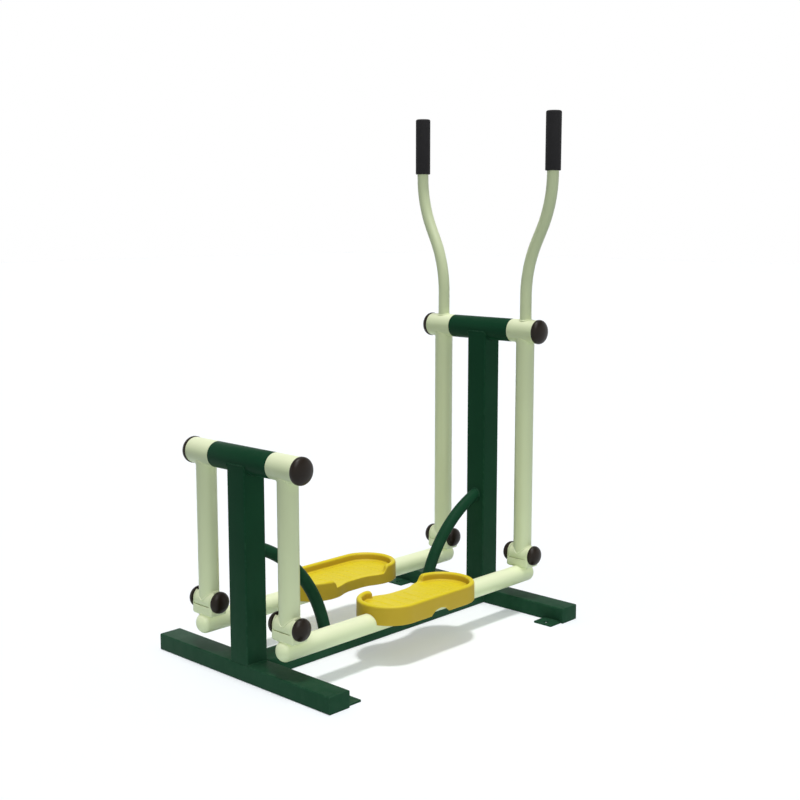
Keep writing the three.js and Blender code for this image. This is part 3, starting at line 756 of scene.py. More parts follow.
for end in ENDS:
    low, high = span(f"{end}_post")
    post_size = high.y - low.y
    axle_low, axle_high = span(f"{end}_axle_tube")
    axle_radius = (axle_high.z - axle_low.z) / 2
    centre = Vector((axle_x[end], 0))
    outline = half_square(post_size, TUBE_CORNER)
    top = cope(axle_radius, hub_z[end], -1)
    skin(f"{end}_post", upright(outline, centre, lambda x: base_top + FIT, top))
    half = post_size / 2
    for y in (-half, half):
        foot = [(centre.x - half + SEAM_END, y, base_top), (centre.x + half - SEAM_END, y, base_top)]
        weld("frame", foot, 3.0, closed=False)
        across = [half * (2 * k / CURVE_STEPS - 1) for k in range(CURVE_STEPS + 1)]
        weld("frame", [(centre.x + x, y, top(x)) for x in across], 3.0, closed=False)
    for x in (-half, half):
        ends = (-half + TUBE_CORNER, half - TUBE_CORNER)
        seam = [(centre.x + x, y, top(half) - SEAM_SINK) for y in ends]
        weld("frame", seam, 2.0, closed=False)
print("posts are", round(post_size), "mm square")

# %% [markdown]
# ## The braces
#
# A brace is a round tube bent to one radius. Its two ends are cut flat, one on the spine and one on
# the post. The skin is a round swept along the arc; for each line along the tube the two places
# where it meets the flats are found by halving, so both ends close exactly on their faces.

# %% Braces
BRACE_BEND, BRACE_RADIUS = 418, 19
BRACE_REACH, BRACE_TOP = 263, 374
BRACE_SIDES, BRACE_ROWS = 40, 36
OVERSHOOT, HALVINGS = 60, 40


def brace_shape(end, inward):
    half_post = span(f"{end}_post")[1].y
    rise = BRACE_TOP - base_top
    chord = math.hypot(BRACE_REACH, rise)
    half_turn = math.asin(chord / 2 / BRACE_BEND)
    heading = math.atan2(rise, BRACE_REACH) + half_turn
    start = Vector((-half_post - BRACE_REACH, base_top))
    length = 2 * half_turn * BRACE_BEND

    def line_point(along, angle):
        """Place on the tube, as distance from the post's middle and height, and how far aside."""
        on_arc = min(max(along, 0.0), length)
        now = heading - on_arc / BRACE_BEND
        a = start.x - BRACE_BEND * (math.sin(now) - math.sin(heading))
        b = start.y - BRACE_BEND * (math.cos(heading) - math.cos(now))
        extra = along - on_arc
        a += extra * math.cos(now) - BRACE_RADIUS * math.cos(angle) * math.sin(now)
        b += extra * math.sin(now) + BRACE_RADIUS * math.cos(angle) * math.cos(now)
        return a, b, BRACE_RADIUS * math.sin(angle)

    def halved(inside, outside, angle, is_in):
        for _ in range(HALVINGS):
            between = (inside + outside) / 2
            inside, outside = (between, outside) if is_in(line_point(between, angle)) else (inside, between)
        return inside

    points = []
    for row in range(BRACE_ROWS + 1):
        for i in range(BRACE_SIDES):
            angle = 2 * math.pi * i / BRACE_SIDES
            first = halved(length / 2, -OVERSHOOT, angle, lambda p: p[1] > base_top + FIT)
            last = halved(length / 2, length + OVERSHOOT, angle, lambda p: p[0] < -half_post - FIT)
            a, b, aside = line_point(first + (last - first) * row / BRACE_ROWS, angle)
            points.append(Vector((axle_x[end] - inward * a, aside, b)))
    return (points, capped(BRACE_ROWS + 1, BRACE_SIDES)), points[:BRACE_SIDES], points[-BRACE_SIDES:]


for end, inward in ENDS.items():
    shape, foot, head = brace_shape(end, inward)
    skin(f"{end}_brace", shape)
    weld("frame", foot, 2.8)
    weld("frame", head, 2.8)
print("braces meet the posts at", BRACE_TOP, "mm")

# %% [markdown]
# ## The anchor plates
#
# Four small plates lie on the ground against the inner side of the cross tubes, each with a hole
# for an anchor bolt. They are flame-cut, so only the rim is broken, and one bead ties each of them
# to its tube.

# %% Anchor plates
HOLE_REACH, HOLE_RADIUS, PLATE_CORNER = 30, 8, 4
PLATE_RIM, PLATE_SEAM_END, TIGHT_CORNER = 0.7, 5, 0.5
for end, inward in ENDS.items():
    for hand in HANDS:
        node = f"{end}_{hand}_anchor_plate"
        low, high = span(node)
        near, far = (low.x, high.x) if inward > 0 else (high.x, low.x)
        corners = [(near, low.y, TIGHT_CORNER), (far, low.y, PLATE_CORNER),
                   (far, high.y, PLATE_CORNER), (near, high.y, TIGHT_CORNER)]
        outline = rounded(corners, closed=True)
        hole_place = (near + inward * HOLE_REACH, (low.y + high.y) / 2)
        hole = arc(HOLE_RADIUS, 0, 360, hole_place, 32)[:-1]
        skin(node, slab([outline, hole], low.z, high.z, PLATE_RIM, lambda u, v, w: (u, v, w)))
        seam = [(near, low.y + PLATE_SEAM_END, high.z), (near, high.y - PLATE_SEAM_END, high.z)]
        weld("frame", seam, 2.4, closed=False)
print("anchor plates are", round(high.z), "mm thick")

# %% [markdown]
# ## Axle tubes and hubs
#
# A fixed green tube lies across each post. Past its ends turn the cream hub sleeves, which carry
# the arms, and a domed plastic cap closes each of them. All of these are turned shapes with small
# rounded corners. The sleeves stay hollow, with the bearings inside.

# %% Axle tubes, hub sleeves and hub caps
SHAFT_BORE, SLEEVE_WALL = 15.3, 5
CAP_RIM, CAP_DOME, BORE_RIM = 6, 20, 0.3


def sleeve_profile(outer, inner, low, high, rim=1.2):
    corners = [(inner, low, BORE_RIM), (outer, low, rim), (outer, high, rim), (inner, high, BORE_RIM)]
    return rounded(corners, closed=True)


for end in ENDS:
    low, high = span(f"{end}_axle_tube")
    centre = (axle_x[end], 0, hub_z[end])
    profile = sleeve_profile((high.z - low.z) / 2, SHAFT_BORE, low.y, high.y, 1.0)
    skin(f"{end}_axle_tube", turned(profile, centre, closed=True))
    for hand, side in HANDS.items():
        low, high = span(f"{end}_{hand}_hub_sleeve")
        sleeve_radius = (high.z - low.z) / 2
        profile = sleeve_profile(sleeve_radius, sleeve_radius - SLEEVE_WALL, low.y, high.y)
        skin(f"{end}_{hand}_hub_sleeve", turned(profile, centre, closed=True))
        low, high = span(f"{end}_{hand}_hub_cap")
        tip = high.y if side > 0 else low.y
        seat = tip - side * (CAP_RIM + CAP_DOME)
        cap_radius = (high.z - low.z) / 2
        skin(f"{end}_{hand}_hub_cap", turned(domed(cap_radius, seat, CAP_RIM, CAP_DOME, side), centre))
print("hub sleeves are", round(2 * sleeve_radius), "mm across and their caps", round(2 * cap_radius))

# %% [markdown]
# ## The arms
#
# An arm is a round tube, coped to the hub sleeve above and to the small barrel of the lower pivot.
# The two joints are three-dimensional curves; because both copes are known by formula, the beads
# are laid on exactly those curves.

# %% Arms and barrels
BARREL_BORE, BUSH_LIP, LIP_STAND = 10.6, 17, 0.7
BARREL_ROUND, LIP_ROUND = 1.2, 0.2
for hand, side in HANDS.items():
    for end in ENDS:
        name = f"{end}_{hand}"
        body = body_of_node[f"{name}_arm_tube"]
        low, high = span(f"{name}_arm_tube")
        arm_radius = (high.y - low.y) / 2
        centre = Vector((axle_x[end], side * arm_y))
        barrel_low, barrel_high = span(f"{name}_barrel")
        barrel_radius = (barrel_high.z - barrel_low.z) / 2
        foot = cope(barrel_radius, pivot_z, 1)
        head = cope(sleeve_radius, hub_z[end], -1)
        half = arc(arm_radius, 0, 180, steps=32)
        skin(f"{name}_arm_tube", upright(half, centre, foot, head))
        ring = half + flipped(half[1:-1], y=-1)
        for height, bead_radius in ((head, 2.8), (foot, 2.2)):
            weld(body, [(centre.x + p.x, centre.y + p.y, height(p.x)) for p in ring], bead_radius)
        lips = [(BARREL_BORE, barrel_low.y, 0), (BUSH_LIP, barrel_low.y, LIP_ROUND),
                (BUSH_LIP, barrel_low.y + LIP_STAND, LIP_ROUND),
                (barrel_radius, barrel_low.y + LIP_STAND, BARREL_ROUND)]
        mirrored = [(r, barrel_low.y + barrel_high.y - y, corner) for r, y, corner in reversed(lips)]
        profile = rounded(lips + mirrored, closed=True)
        skin(f"{name}_barrel", turned(profile, (axle_x[end], 0, pivot_z), closed=True))
print("arms are", round(2 * arm_radius), "mm across")

# %% [markdown]
# ## The hand levers
#
# A lever leaves the top of the front hub, bends outwards and then back, and ends upright in its
# grip. A curve object with a round section would do, but its foot would not follow the hub, so the
# rings are placed one by one along straight runs and arcs, and the first ring is dropped onto the hub.

# %% Hand levers
LEVER_STRAIGHT, LEVER_MIDDLE, LEVER_SLANT, LEVER_NECK = 115, 60, 43, 9
GRIP_END, LEVER_SIDES, LEVER_STEPS = 6, 40, 12


def lever_shape(hand, side):
    low, high = span(f"{hand}_lever")
    grip_low, grip_high = span(f"{hand}_grip")
    radius = (high.x - low.x) / 2
    spread = side * (grip_low.y + grip_high.y) / 2 - arm_y
    upright_run = LEVER_NECK + grip_high.z - grip_low.z - GRIP_END - FIT
    bends_rise = high.z - hub_z["front"] - LEVER_STRAIGHT - upright_run
    turn = 2 * math.atan(spread / (bends_rise + LEVER_SLANT))
    bend = (bends_rise - LEVER_SLANT * math.cos(turn)) / (2 * math.sin(turn))
    rows = [(0.0, z, 0.0) for z in (0, LEVER_MIDDLE, LEVER_STRAIGHT)]
    angles = [turn * k / LEVER_STEPS for k in range(LEVER_STEPS + 1)]
    for angle in angles[1:]:
        rows.append((bend * (1 - math.cos(angle)), LEVER_STRAIGHT + bend * math.sin(angle), angle))
    out, up, _ = rows[-1]
    out, up = out + LEVER_SLANT * math.sin(turn), up + LEVER_SLANT * math.cos(turn)
    for angle in reversed(angles):
        rows.append((out + bend * (math.cos(angle) - math.cos(turn)),
                     up + bend * (math.sin(turn) - math.sin(angle)), angle))
    rows.append((spread, high.z - hub_z["front"], 0.0))
    points = []
    seat = cope(sleeve_radius, 0, 1)
    for row, (aside, rise, lean) in enumerate(rows):
        for x, across in circle(radius, LEVER_SIDES):
            z = seat(x) if row == 0 else rise - across * math.sin(lean)
            points.append((axle_x["front"] + x, side * (arm_y + aside + across * math.cos(lean)),
                           hub_z["front"] + z))
    faces = grid(len(rows), LEVER_SIDES)
    for i in range(LEVER_SIDES // 2):
        faces.append((i, i + 1, (LEVER_SIDES - i - 1) % LEVER_SIDES, (LEVER_SIDES - i) % LEVER_SIDES))
    faces.append(tuple(len(points) - 1 - i for i in range(LEVER_SIDES)))
    return (points, faces), points[:LEVER_SIDES], bend


for hand, side in HANDS.items():
    shape, foot, bend = lever_shape(hand, side)
    skin(f"{hand}_lever", shape)
    weld(body_of_node[f"{hand}_lever"], foot, 2.8)
print("levers are bent to", round(bend), "mm")

# %% [markdown]
# ## The grips
#
# The grips are plain rubber sleeves, closed at the top and a little soft at the rims. They are
# turned like the caps, round an upright axis.

# %% Grips
LEVER_BORE = 19.3
GRIP_LIP, GRIP_FOOT_ROUND, GRIP_TOP_ROUND = 0.8, 4.5, 6
for hand, side in HANDS.items():
    low, high = span(f"{hand}_grip")
    centre = (axle_x["front"], (low.y + high.y) / 2, 0)
    radius = (high.x - low.x) / 2
    corners = [(LEVER_BORE, high.z - GRIP_END, 0), (LEVER_BORE, low.z, GRIP_LIP),
               (radius, low.z, GRIP_FOOT_ROUND), (radius, high.z, GRIP_TOP_ROUND), (0, high.z, 0)]
    profile = [Vector((0, high.z - GRIP_END))] + rounded(corners, steps=6)
    skin(f"{hand}_grip", turned(profile, centre, axis="Z"))
print("grips are", round(2 * radius), "mm across and", round(high.z - low.z), "mm long")

# %% [markdown]
# ## The lower pivots
#
# On each foot bar stand two forks. A fork is a small tub: its base is saddled to the bar and rises
# round the barrel as a cradle, and an ear at each end holds the pin. The front ears are closed round
# the pin. The rear ears have slots that are open at the top, in which the pin can rise. A fork is
# lofted along the pin. Every section has the same number of points, so a section of the cradle can
# turn into one of an ear, and the underside is lifted where it meets the bar or a rounded end. At
# both ends the sections narrow along a quarter of a circle, so that the fork's corners are soft.

# %% Sections of a fork
EAR, FOOT_HALF, FOOT_ROUND = 8, 31, 10
CRADLE_GAP, WALL_DROP = 1.5, 14.2
SLOT_SEAT, SLOT_MOUTH = 10.8, 13.915
END_ROUND, END_NARROWING, FORK_RIM = 14, 0.17, 1
BAR_RADIUS, BITE_STEPS, EAR_STEPS = 30, 8, 8


def fork_section(kind, foot_z):
    """A section round the pivot, from the middle of its underside over one side and back by the other.

    Every kind has two arcs after the foot, so that all of them have the same number of points.
    """
    corner = (FOOT_HALF - FOOT_ROUND, foot_z + FOOT_ROUND)
    half = [Vector((0, foot_z)), Vector((FOOT_HALF / 3, foot_z))] + arc(FOOT_ROUND, -90, 0, corner)
    if kind == "cradle":
        cradle = barrel_radius + CRADLE_GAP
        inner = math.sqrt(cradle ** 2 - WALL_DROP ** 2)
        outer = FOOT_HALF + (barrel_radius - FOOT_HALF) * (1 + WALL_DROP / corner[1])
        lip = (outer - inner) / 2
        half += arc(lip, 0, 180, (inner + lip, -WALL_DROP))
        half += arc(cradle, -math.degrees(math.asin(WALL_DROP / cradle)) - 1, -90)
    elif kind == "closed":
        half += arc(barrel_radius, 0, 45) + arc(barrel_radius, 48, 90)
    else:
        mouth = math.degrees(math.acos(SLOT_MOUTH / barrel_radius))
        half += arc(barrel_radius, 0, mouth) + arc(SLOT_SEAT, 0, -90)
    return half + flipped(half[1:-1], x=-1)


# %% Forks
def fork_shape(end, hand):
    low, high = span(f"{end}_{hand}_fork")
    foot_z = low.z - pivot_z
    bar_z = middle(f"{hand}_foot_bar").z - pivot_z
    centre = Vector((axle_x[end], HANDS[hand] * arm_y, pivot_z))
    width = (high.y - low.y) / 2
    inside = width - EAR
    cradle = fork_section("cradle", foot_z)
    ear = fork_section("closed" if end == "front" else "slotted", foot_z)
    reach = BAR_RADIUS + FIT
    bite = math.sqrt(reach ** 2 - (foot_z - bar_z) ** 2)
    stations = [(bite * k / BITE_STEPS, cradle, 0) for k in range(BITE_STEPS + 1)]
    stations += [(inside, cradle, 0), (inside, ear, 0)]
    for k in range(1, EAR_STEPS - 1):
        stations.append((inside + EAR * math.sin(math.pi / 2 * k / EAR_STEPS), ear, 0))
    stations += [(width - 0.3 * FORK_RIM, ear, 0.3 * FORK_RIM), (width, ear, FORK_RIM)]

    def section_at(place, loop, rim):
        off = abs(place)
        round_off = max(off - width + END_ROUND, 0) / END_ROUND
        narrow = 1 - END_NARROWING * (1 - math.sqrt(1 - round_off ** 2))
        under = foot_z + EAR - math.sqrt(max(EAR ** 2 - max(off - inside, 0) ** 2, 0))
        if off < bite:
            under = bar_z + math.sqrt(reach ** 2 - off ** 2)
        return [centre + Vector((p.x * narrow, place, max(p.y, under))) for p in moved_in(loop, rim)]

    rings = [section_at(-off, loop, rim) for off, loop, rim in reversed(stations[1:])]
    rings += [section_at(*station) for station in stations]
    size = len(cradle)
    faces = grid(len(rings), size)
    for start in (0, (len(rings) - 1) * size):
        lid = filled([moved_in(ear, FORK_RIM)])
        faces += [tuple(start + index for index in triangle) for triangle in lid]

    def seam_point(along, facing):
        rise = bar_z + math.sqrt(reach ** 2 - along ** 2) - foot_z
        out = FOOT_HALF - FOOT_ROUND + math.sqrt(FOOT_ROUND ** 2 - (FOOT_ROUND - rise) ** 2)
        return centre + Vector((facing * out, along, foot_z + rise))

    steps = [bite * (1 - k / BITE_STEPS) for k in range(2 * BITE_STEPS + 1)]
    seam = [seam_point(along, 1) for along in steps] + [seam_point(-along, -1) for along in steps]
    return ([p for ring in rings for p in ring], faces), seam


for hand in HANDS:
    for end in ENDS:
        shape, seam = fork_shape(end, hand)
        skin(f"{end}_{hand}_fork", shape)
        weld(f"foot_bar_{hand}", seam, 1.8)
print("fork ears are", EAR, "mm thick")

# %% [markdown]
# Domed caps hide the ears and the ends of the pins. They are smaller brothers of the hub caps, so
# the same profile makes them.

# %% Pivot caps
LOW_CAP_RIM, LOW_CAP_DOME = 4, 20
for hand, side in HANDS.items():
    for end in ENDS:
        for place, facing in (("outer", side), ("inner", -side)):
            node = f"{end}_{hand}_{place}_pivot_cap"
            low, high = span(node)
            seat = low.y if facing > 0 else high.y
            profile = domed((high.z - low.z) / 2, seat, LOW_CAP_RIM, LOW_CAP_DOME, facing)
            skin(node, turned(profile, (axle_x[end], 0, pivot_z)))
print("pivot caps are", round(high.z - low.z), "mm across")

# %% [markdown]
# ## The foot bars
#
# A foot bar is a round tube whose ends are spun into domes. One profile along X makes tube and
# domes in one piece, with no seam to hide.

# %% Foot bars
BAR_DOME, DOME_STEPS = 24, 16
for hand, side in HANDS.items():
    low, high = span(f"{hand}_foot_bar")
    radius = (high.z - low.z) / 2
    angles = [math.pi / 2 * k / DOME_STEPS for k in range(DOME_STEPS + 1)]
    dome = [(radius * math.sin(a), low.x + BAR_DOME * (1 - math.cos(a))) for a in angles]
    profile = dome + [(r, low.x + high.x - x) for r, x in reversed(dome)]
    centre = (0, side * arm_y, (low.z + high.z) / 2)
    skin(f"{hand}_foot_bar", turned(profile, centre, axis="X"))
print("foot bars are", round(high.x - low.x), "mm long")

# %% [markdown]
# ## The foot trays
#
# The trays are the showpiece: one moulding with a floor, cross ridges, a rim that runs out along
# the waist, and a deep skirt that arches over the foot bar. A box with a subdivision surface would
# blur the rim. Instead the outline is walked point by point, and at each point a section is drawn
# from the middle of the floor, over the rim, down the skirt and back up inside. The section blends
# from a rimmed one to a flat one where the rim is left out.

# %% Tray outline in plan
TRAY_LENGTH, TRAY_HALF, WAIST_DEPTH, WAIST_HALF = 440, 100, 21, 20
TRAY_FORWARD, TRAY_INWARD = 5, 7
TRAY_CENTRE = TRAY_LENGTH / 2 - TRAY_HALF
RIDGE_PITCH, RIDGE_WIDTH, RIDGE_HEIGHT, RIDGE_COUNT = 40, 9, 1.5, 9
NOTCH_RADIUS, NOTCH_DROP = 54, 36
GAP_HEEL, GAP_TOE, HEEL_SLOPE, TOE_SLOPE = -106, 104, 18, 22
BAR_WAY = BAR_RADIUS + FIT
SIDE_STEP, END_TURN = 5, 3
notch_reach = math.sqrt(NOTCH_RADIUS ** 2 - NOTCH_DROP ** 2)


def side_places():
    """Places along the straight sides, closer together where something starts or ends."""
    steps = int(2 * TRAY_CENTRE / SIDE_STEP)
    places = {round(-TRAY_CENTRE + SIDE_STEP * k, 3) for k in range(steps + 1)}
    for i in range(RIDGE_COUNT):
        x = (i - (RIDGE_COUNT - 1) / 2) * RIDGE_PITCH
        shares = (-0.5, -0.4, -0.27, -0.13, 0, 0.13, 0.27, 0.4, 0.5)
        places |= {x + RIDGE_WIDTH * share for share in shares}
    places |= {-notch_reach, notch_reach, GAP_HEEL, GAP_TOE}
    places |= {GAP_HEEL - HEEL_SLOPE * share for share in (0.03, 0.08, 0.2, 0.35, 0.5, 0.65)}
    return sorted(x for x in places if -TRAY_CENTRE < x < TRAY_CENTRE)


def waist(x):
    """How far the inner side is from the middle line at x: full at the shoulders, less at the waist."""
    share = (abs(x) - WAIST_HALF) / (TRAY_CENTRE - WAIST_HALF)
    if share <= 0:
        return TRAY_HALF - WAIST_DEPTH
    low, high = 0.0, 1.0
    for _ in range(HALVINGS):
        t = (low + high) / 2
        at = 1.5 * t * (1 - t) ** 2 + 1.5 * t * t * (1 - t) + t ** 3
        low, high = (t, high) if at < share else (low, t)
    return TRAY_HALF - WAIST_DEPTH + WAIST_DEPTH * (3 * t * t * (1 - t) + t ** 3)


def end_angles():
    """Angles round a tray's end, closer together where the arch over the foot bar starts."""
    angles = {round(math.radians(angle), 5) for angle in range(-90, 91, END_TURN)}
    for share in (1, 0.995, 0.98, 0.95, 0.9, 0.83, 0.7, 0.55):
        for sign in (-1, 1):
            angles.add(round(math.asin((TRAY_INWARD + sign * BAR_WAY * share) / TRAY_HALF), 5))
    return sorted(angles)


def tray_outline():
    """The outline as (x, outwards), from the inner side of the toe round by the outside."""
    xs, angles = side_places(), end_angles()
    ends = [(TRAY_CENTRE + TRAY_HALF * math.cos(a), TRAY_HALF * math.sin(a)) for a in angles]
    toe = [Vector(p) for p in ends]
    outer = [Vector((x, TRAY_HALF)) for x in reversed(xs)]
    heel = [Vector((-x, y)) for x, y in reversed(ends)]
    inner = [Vector((x, -waist(x))) for x in xs]
    return toe + outer + heel + inner


outline = tray_outline()
print("tray outline has", len(outline), "points, and its waist is", round(waist(0)), "mm from the middle")

# %% [markdown]
# The section is a row of (distance in from the outline, height over the floor). The rimmed one has
# a small radius where floor and rim meet and a round top. The flat one only has a rounded outer
# edge. Both have the same number of points, so any share between them is a valid section too. The
# heel end of the rim rises like a thumb and is thicker there, the toe end as a ramp.

# %% Tray sections
RIM_HEIGHT, RIM_WALL, SKIRT_WALL, TRAY_FLOOR = 24.5, 18, 6, 4
RIM_FOOT, RIM_INSET, FLAT_ROUND = 5.5, 0.4, 3.1
THUMB_SWELL, THUMB_BACK, THUMB_LENGTH = 0.45, 14, 11
RIM_START = RIM_WALL + RIM_FOOT


def section_pair():
    foot = arc(RIM_FOOT, 270, 180, (RIM_START, RIM_FOOT), 5)
    crown = RIM_WALL / 2 - RIM_INSET
    top = arc(crown, 0, 180, (RIM_WALL / 2, RIM_HEIGHT - crown))
    rimmed = [(p.x, p.y) for p in foot + top]
    flat = []
    for i in range(len(rimmed)):
        share = 2 * i / (len(rimmed) - 1)
        if share < 1:
            flat.append((RIM_START - (RIM_START - RIM_INSET - FLAT_ROUND) * share, 0.0))
        else:
            a = math.pi / 2 * (share - 1)
            flat.append((RIM_INSET + FLAT_ROUND * (1 - math.sin(a)), -FLAT_ROUND * (1 - math.cos(a))))
    return rimmed, flat


def rim_share(point):
    """1 where the rim is full, 0 where it is left out."""
    if point.y > 0 or not GAP_HEEL - HEEL_SLOPE < point.x < GAP_TOE + TOE_SLOPE:
        return 1.0
    if point.x < GAP_HEEL:
        u = (GAP_HEEL - point.x) / HEEL_SLOPE
        return math.sqrt(1 - (1 - u) ** 2)
    if point.x > GAP_TOE:
        u = (point.x - GAP_TOE) / TOE_SLOPE
        return u * u * (3 - 2 * u)
    return 0.0


def swell(point):
    """How much thicker the rim is at the thumb, where it ends beside the heel."""
    if point.y > 0:
        return 1.0
    return 1 + THUMB_SWELL * math.exp(-((point.x - GAP_HEEL + THUMB_BACK) / THUMB_LENGTH) ** 2)


rimmed, flat = section_pair()
print("a section has", len(rimmed), "points over the rim")

# %% [markdown]
# Ridges are waves in the height of the floor, which die out before the rim. The skirt's lower edge
# is a formula too: level, except over the foot bar and at the notch in the outer side.

# %% Tray floor and skirt
RIDGE_CLEAR, RIDGE_FADE = 5, 4
SKIRT_MIDDLE, SKIRT_ROUND, UNDER_FLOOR = 0.45, 1.2, 0.01
FLOOR_RINGS, UNDER_RINGS = 34, 6


def ridge(x, to_edge):
    nearest = round(x / RIDGE_PITCH)
    if abs(nearest) > (RIDGE_COUNT - 1) / 2:
        return 0.0
    off = abs(x - nearest * RIDGE_PITCH) / (RIDGE_WIDTH / 2)
    if off >= 1:
        return 0.0
    fade = min(max((to_edge - RIM_WALL - RIDGE_CLEAR) / RIDGE_FADE, 0.0), 1.0)
    return RIDGE_HEIGHT * (1 - off ** 4) * fade


def skirt_edge(x, y, bottom):
    edge = bottom
    if abs(y - TRAY_INWARD) < BAR_WAY and abs(x) > TRAY_CENTRE:
        edge = bottom + math.sqrt(BAR_WAY ** 2 - (y - TRAY_INWARD) ** 2)
    if y > TRAY_HALF / 2 and abs(x) < notch_reach:
        edge = max(edge, bottom - NOTCH_DROP + math.sqrt(NOTCH_RADIUS ** 2 - x * x))
    return edge


def tray_rings(floor_low, bottom):
    """Rings of points round the tray, from the middle of the floor to the middle of its underside."""
    floor_top = floor_low + TRAY_FLOOR
    count = len(outline)
    normals = []
    for i in range(count):
        along = (outline[(i + 1) % count] - outline[i - 1]).normalized()
        normals.append(Vector((-along.y, along.x)))
    spine = [Vector((min(max(p.x, -TRAY_CENTRE), TRAY_CENTRE), 0)) for p in outline]
    shares = [rim_share(p) for p in outline]
    swells = [swell(p) for p in outline]
    rings = []
    for row in range(FLOOR_RINGS + 1):
        ring = []
        for i, here in enumerate(outline):
            start = here + normals[i] * RIM_START * (1 + (swells[i] - 1) * shares[i])
            p = spine[i].lerp(start, row / FLOOR_RINGS)
            ring.append((p.x, p.y, floor_top + ridge(p.x, (here - p).length)))
        rings.append(ring)
    for (high_in, high_z), (low_in, low_z) in list(zip(rimmed, flat))[1:]:
        ring = []
        for i, here in enumerate(outline):
            p = here + normals[i] * (low_in + (high_in * swells[i] - low_in) * shares[i])
            ring.append((p.x, p.y, floor_top + low_z + (high_z - low_z) * shares[i]))
        rings.append(ring)
    for inset, rise in ((0, None), (0, SKIRT_ROUND), (SKIRT_ROUND * 0.3, SKIRT_ROUND * 0.7),
                        (SKIRT_ROUND, 0), (SKIRT_WALL - SKIRT_ROUND, 0), (SKIRT_WALL, SKIRT_ROUND)):
        ring = []
        for i, here in enumerate(outline):
            p = here + normals[i] * inset
            low = skirt_edge(here.x, here.y, bottom)
            z = low + ((floor_low - low) * SKIRT_MIDDLE if rise is None else rise)
            ring.append((p.x, p.y, min(z, floor_low - UNDER_FLOOR) if inset else z))
        rings.append(ring)
    for row in range(UNDER_RINGS + 1):
        ring = []
        for i, here in enumerate(outline):
            p = (here + normals[i] * SKIRT_WALL).lerp(spine[i], row / UNDER_RINGS)
            ring.append((p.x, p.y, floor_low))
        rings.append(ring)
    return rings


def tray_shape(side, floor_low, bottom):
    rings = tray_rings(floor_low, bottom)
    points = [(TRAY_FORWARD + x, side * (arm_y - TRAY_INWARD + y), z) for ring in rings for x, y, z in ring]
    return points, grid(len(rings), len(outline))


# %% [markdown]
# Ribs stiffen the floor from below. They can only be seen from underneath, and are plain plates
# with one side curved round the foot bar.

# %% Ribs and trays
RIB_SHARES = (-0.7, -0.3, 0.3, 0.7)
RIB_HALF, RIB_DEPTH, RIB_RIM = 3, 22, 0.5
RIB_START, RIB_SINK, RIB_STEPS = 4, 1, 8


def rib_shapes(side, floor_low, bar_z):
    low_z, top_z = floor_low - RIB_DEPTH, floor_low + RIB_SINK
    low_bite = math.sqrt(BAR_WAY ** 2 - (low_z - bar_z) ** 2)
    shapes = []
    for share in RIB_SHARES:
        x = share * TRAY_LENGTH / 2
        start = TRAY_FORWARD + x - RIB_HALF
        reach = math.sqrt(TRAY_HALF ** 2 - max(abs(x) - TRAY_CENTRE, 0) ** 2)
        inner_reach = min(reach, waist(x)) if abs(x) < TRAY_CENTRE else reach
        for facing, outer in ((1, reach - SKIRT_WALL / 2), (-1, inner_reach - SKIRT_WALL / 2)):
            curve = []
            for k in range(RIB_STEPS + 1):
                off = low_bite + (RIB_START - low_bite) * k / RIB_STEPS
                height = bar_z + math.sqrt(BAR_WAY ** 2 - off ** 2)
                curve.append(Vector((TRAY_INWARD + facing * off, height)))
            loop = [Vector((facing * outer, low_z)), *curve,
                    Vector((TRAY_INWARD + facing * RIB_START, top_z)), Vector((facing * outer, top_z))]
            shapes.append(slab([loop], start, start + 2 * RIB_HALF, RIB_RIM,
                               lambda u, v, w: (w, side * (arm_y - TRAY_INWARD + u), v)))
    return shapes


for hand, side in HANDS.items():
    low, high = span(f"{hand}_foot_tray")
    bar_low, bar_high = span(f"{hand}_foot_bar")
    floor_low = bar_high.z + FIT
    shape = tray_shape(side, floor_low, low.z)
    ribs = rib_shapes(side, floor_low, (bar_low.z + bar_high.z) / 2)
    tray = skin(f"{hand}_foot_tray", joined(shape, *ribs))
print("trays:", len(tray.data.vertices), "points each, rim top at", round(high.z), "mm")

# %% [markdown]
# ## The weld beads
#
# All beads of one moving body become one piece, painted like the tubes that they join.

# %% Weld beads as pieces
for body, shapes in beads.items():
    if shapes:
        slot = "green_paint" if body == "frame" else "cream_paint"
        make_piece(f"{body}_welds", joined(*shapes), body, slot)
print("welded seams:", {body: len(shapes) for body, shapes in beads.items()})

# %% [markdown]
# ## The white ground
#
# The photograph shows the machine on a plain white ground, with soft grey shadows right under the
# trays and foot bars. For the camera, and for gloss that mirrors it, the ground is white and adds a
# touch of cool light of its own, so that the shadows on it come out grey instead of warm. The light
# that it throws back on the machine is strong near its middle and fades outwards, because in the
# photograph the low parts are lit from below more than the high ones.

# %% Floor
FLOOR_SIZE = 60
NEAR_WHITE, FAR_GREY = (0.93, 1, 1, 1), (0.15, 0.17, 0.17, 1)
FADE_START, FADE_END = 0.6, 1.7  # metres from the middle
floor_mesh = bpy.data.meshes.new("floor")
half = FLOOR_SIZE / 2
corners = [(-half, -half, 0), (half, -half, 0), (half, half, 0), (-half, half, 0)]
floor_mesh.from_pydata(corners, [], [(0, 1, 2, 3)])
floor = placed("floor", floor_mesh)

floor_material = bpy.data.materials.new("white_ground")
floor_material.use_nodes = True
tree = floor_material.node_tree
tree.nodes.clear()


def seen_directly(tree):
    """1 for rays from the camera, from gloss or through glass, 0 for the light that bounces."""
    path = add(tree, "LightPath").outputs
    first = combine(tree, path["Is Camera Ray"], path["Is Glossy Ray"], "MAXIMUM")
    return combine(tree, first, path["Is Transmission Ray"], "MAXIMUM")


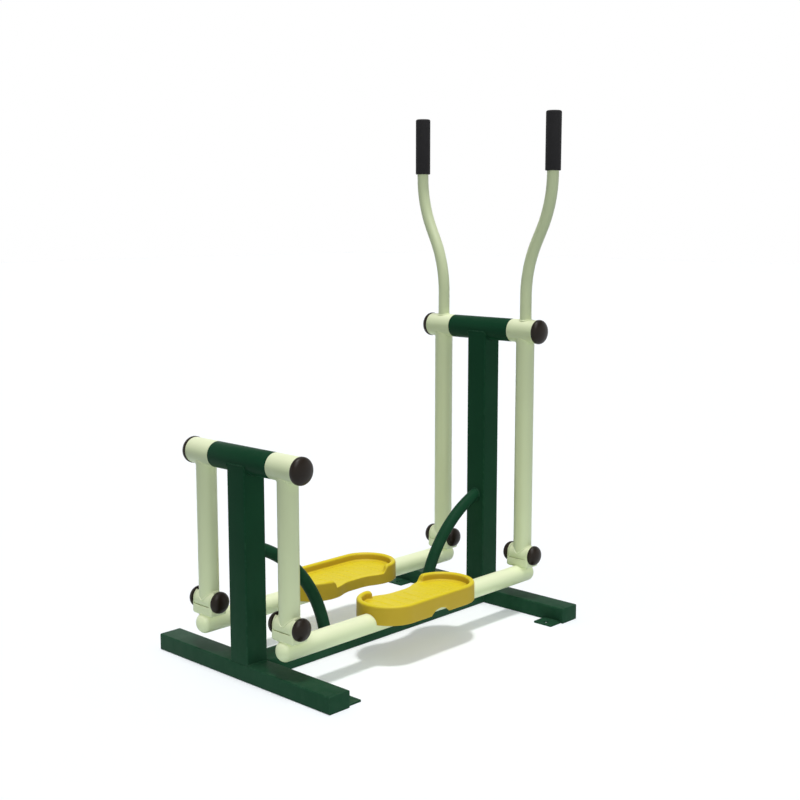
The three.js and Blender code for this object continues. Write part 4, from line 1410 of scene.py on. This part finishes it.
white = add(tree, "BsdfDiffuse", {"Color": (0.955, 0.965, 0.985, 1)})
glow = add(tree, "Emission", {"Color": (0.55, 0.7, 1, 1), "Strength": 0.05})
seen = add(tree, "AddShader", {0: white.outputs[0], 1: glow.outputs[0]})
place = add(tree, "TexCoord").outputs["Object"]
away = add(tree, "VectorMath", {0: place}, operation="LENGTH").outputs["Value"]
fade = mix(tree, ramp(tree, away, FADE_START, FADE_END), NEAR_WHITE, FAR_GREY)
bounced = add(tree, "BsdfDiffuse", {"Color": fade})
both = add(tree, "MixShader", {0: seen_directly(tree), 1: bounced.outputs[0], 2: seen.outputs[0]})
add(tree, "OutputMaterial", {"Surface": both.outputs[0]})
floor_mesh.materials.append(floor_material)

# %% [markdown]
# ## Sky and lamps
#
# The main light comes from straight above: tops are bright, sides are about half as bright, and the
# shadows lie right under the parts. A broad lamp above and a fill lamp from behind the camera lift
# the rest. These two cast no shadows, because the photograph shows none but those right under the
# parts. The sky itself is weak. What the camera and the gloss see of it is the white of the
# picture's background up to a little above the horizon, and dim above that, where a studio has its
# dark ceiling.

# %% World
SKY, CEILING = 0.15, 0.25
CEILING_START, CEILING_FULL = 0.33, 0.6  # the height of the direction, 0 at the horizon, 1 straight up
world = bpy.data.worlds.new("white_studio")
bpy.context.scene.world = world
world.use_nodes = True
tree = world.node_tree
tree.nodes.clear()
sky = add(tree, "Background", {"Color": (0.94, 1, 0.97, 1), "Strength": SKY})
height = axis_z(tree, "TexCoord", "Generated")
brightness = ramp(tree, height, CEILING_START, CEILING_FULL, 1.0, CEILING)
backdrop = add(tree, "Background", {"Color": (1, 1, 1, 1), "Strength": brightness})
both = add(tree, "MixShader", {0: seen_directly(tree), 1: sky.outputs[0], 2: backdrop.outputs[0]})
add(tree, "OutputWorld", {"Surface": both.outputs[0]})

# %% Lamps
LAMP_HEIGHT = 5


def sun(name, power, width, tilt, turn, shadows):
    """A far lamp, in degrees: tilt is how far it leans from straight above, turn is the way it leans."""
    lamp = placed(name, bpy.data.lights.new(name, "SUN"))
    lamp.data.energy = power
    lamp.data.use_shadow = shadows
    lamp.data.angle = math.radians(width)
    lamp.rotation_euler = (math.radians(tilt), 0, math.radians(turn))
    lamp.location = (0, 0, LAMP_HEIGHT)


sun("overhead_lamp", power=1.55, width=8, tilt=2.8, turn=-40, shadows=True)
sun("overhead_softbox", power=0.35, width=70, tilt=0, turn=0, shadows=False)
sun("fill_lamp", power=1.12, width=35, tilt=40, turn=-32, shadows=False)
bpy.context.scene.view_settings.view_transform = "Standard"
print("sky", SKY, "and", len(bpy.data.lights), "lamps")
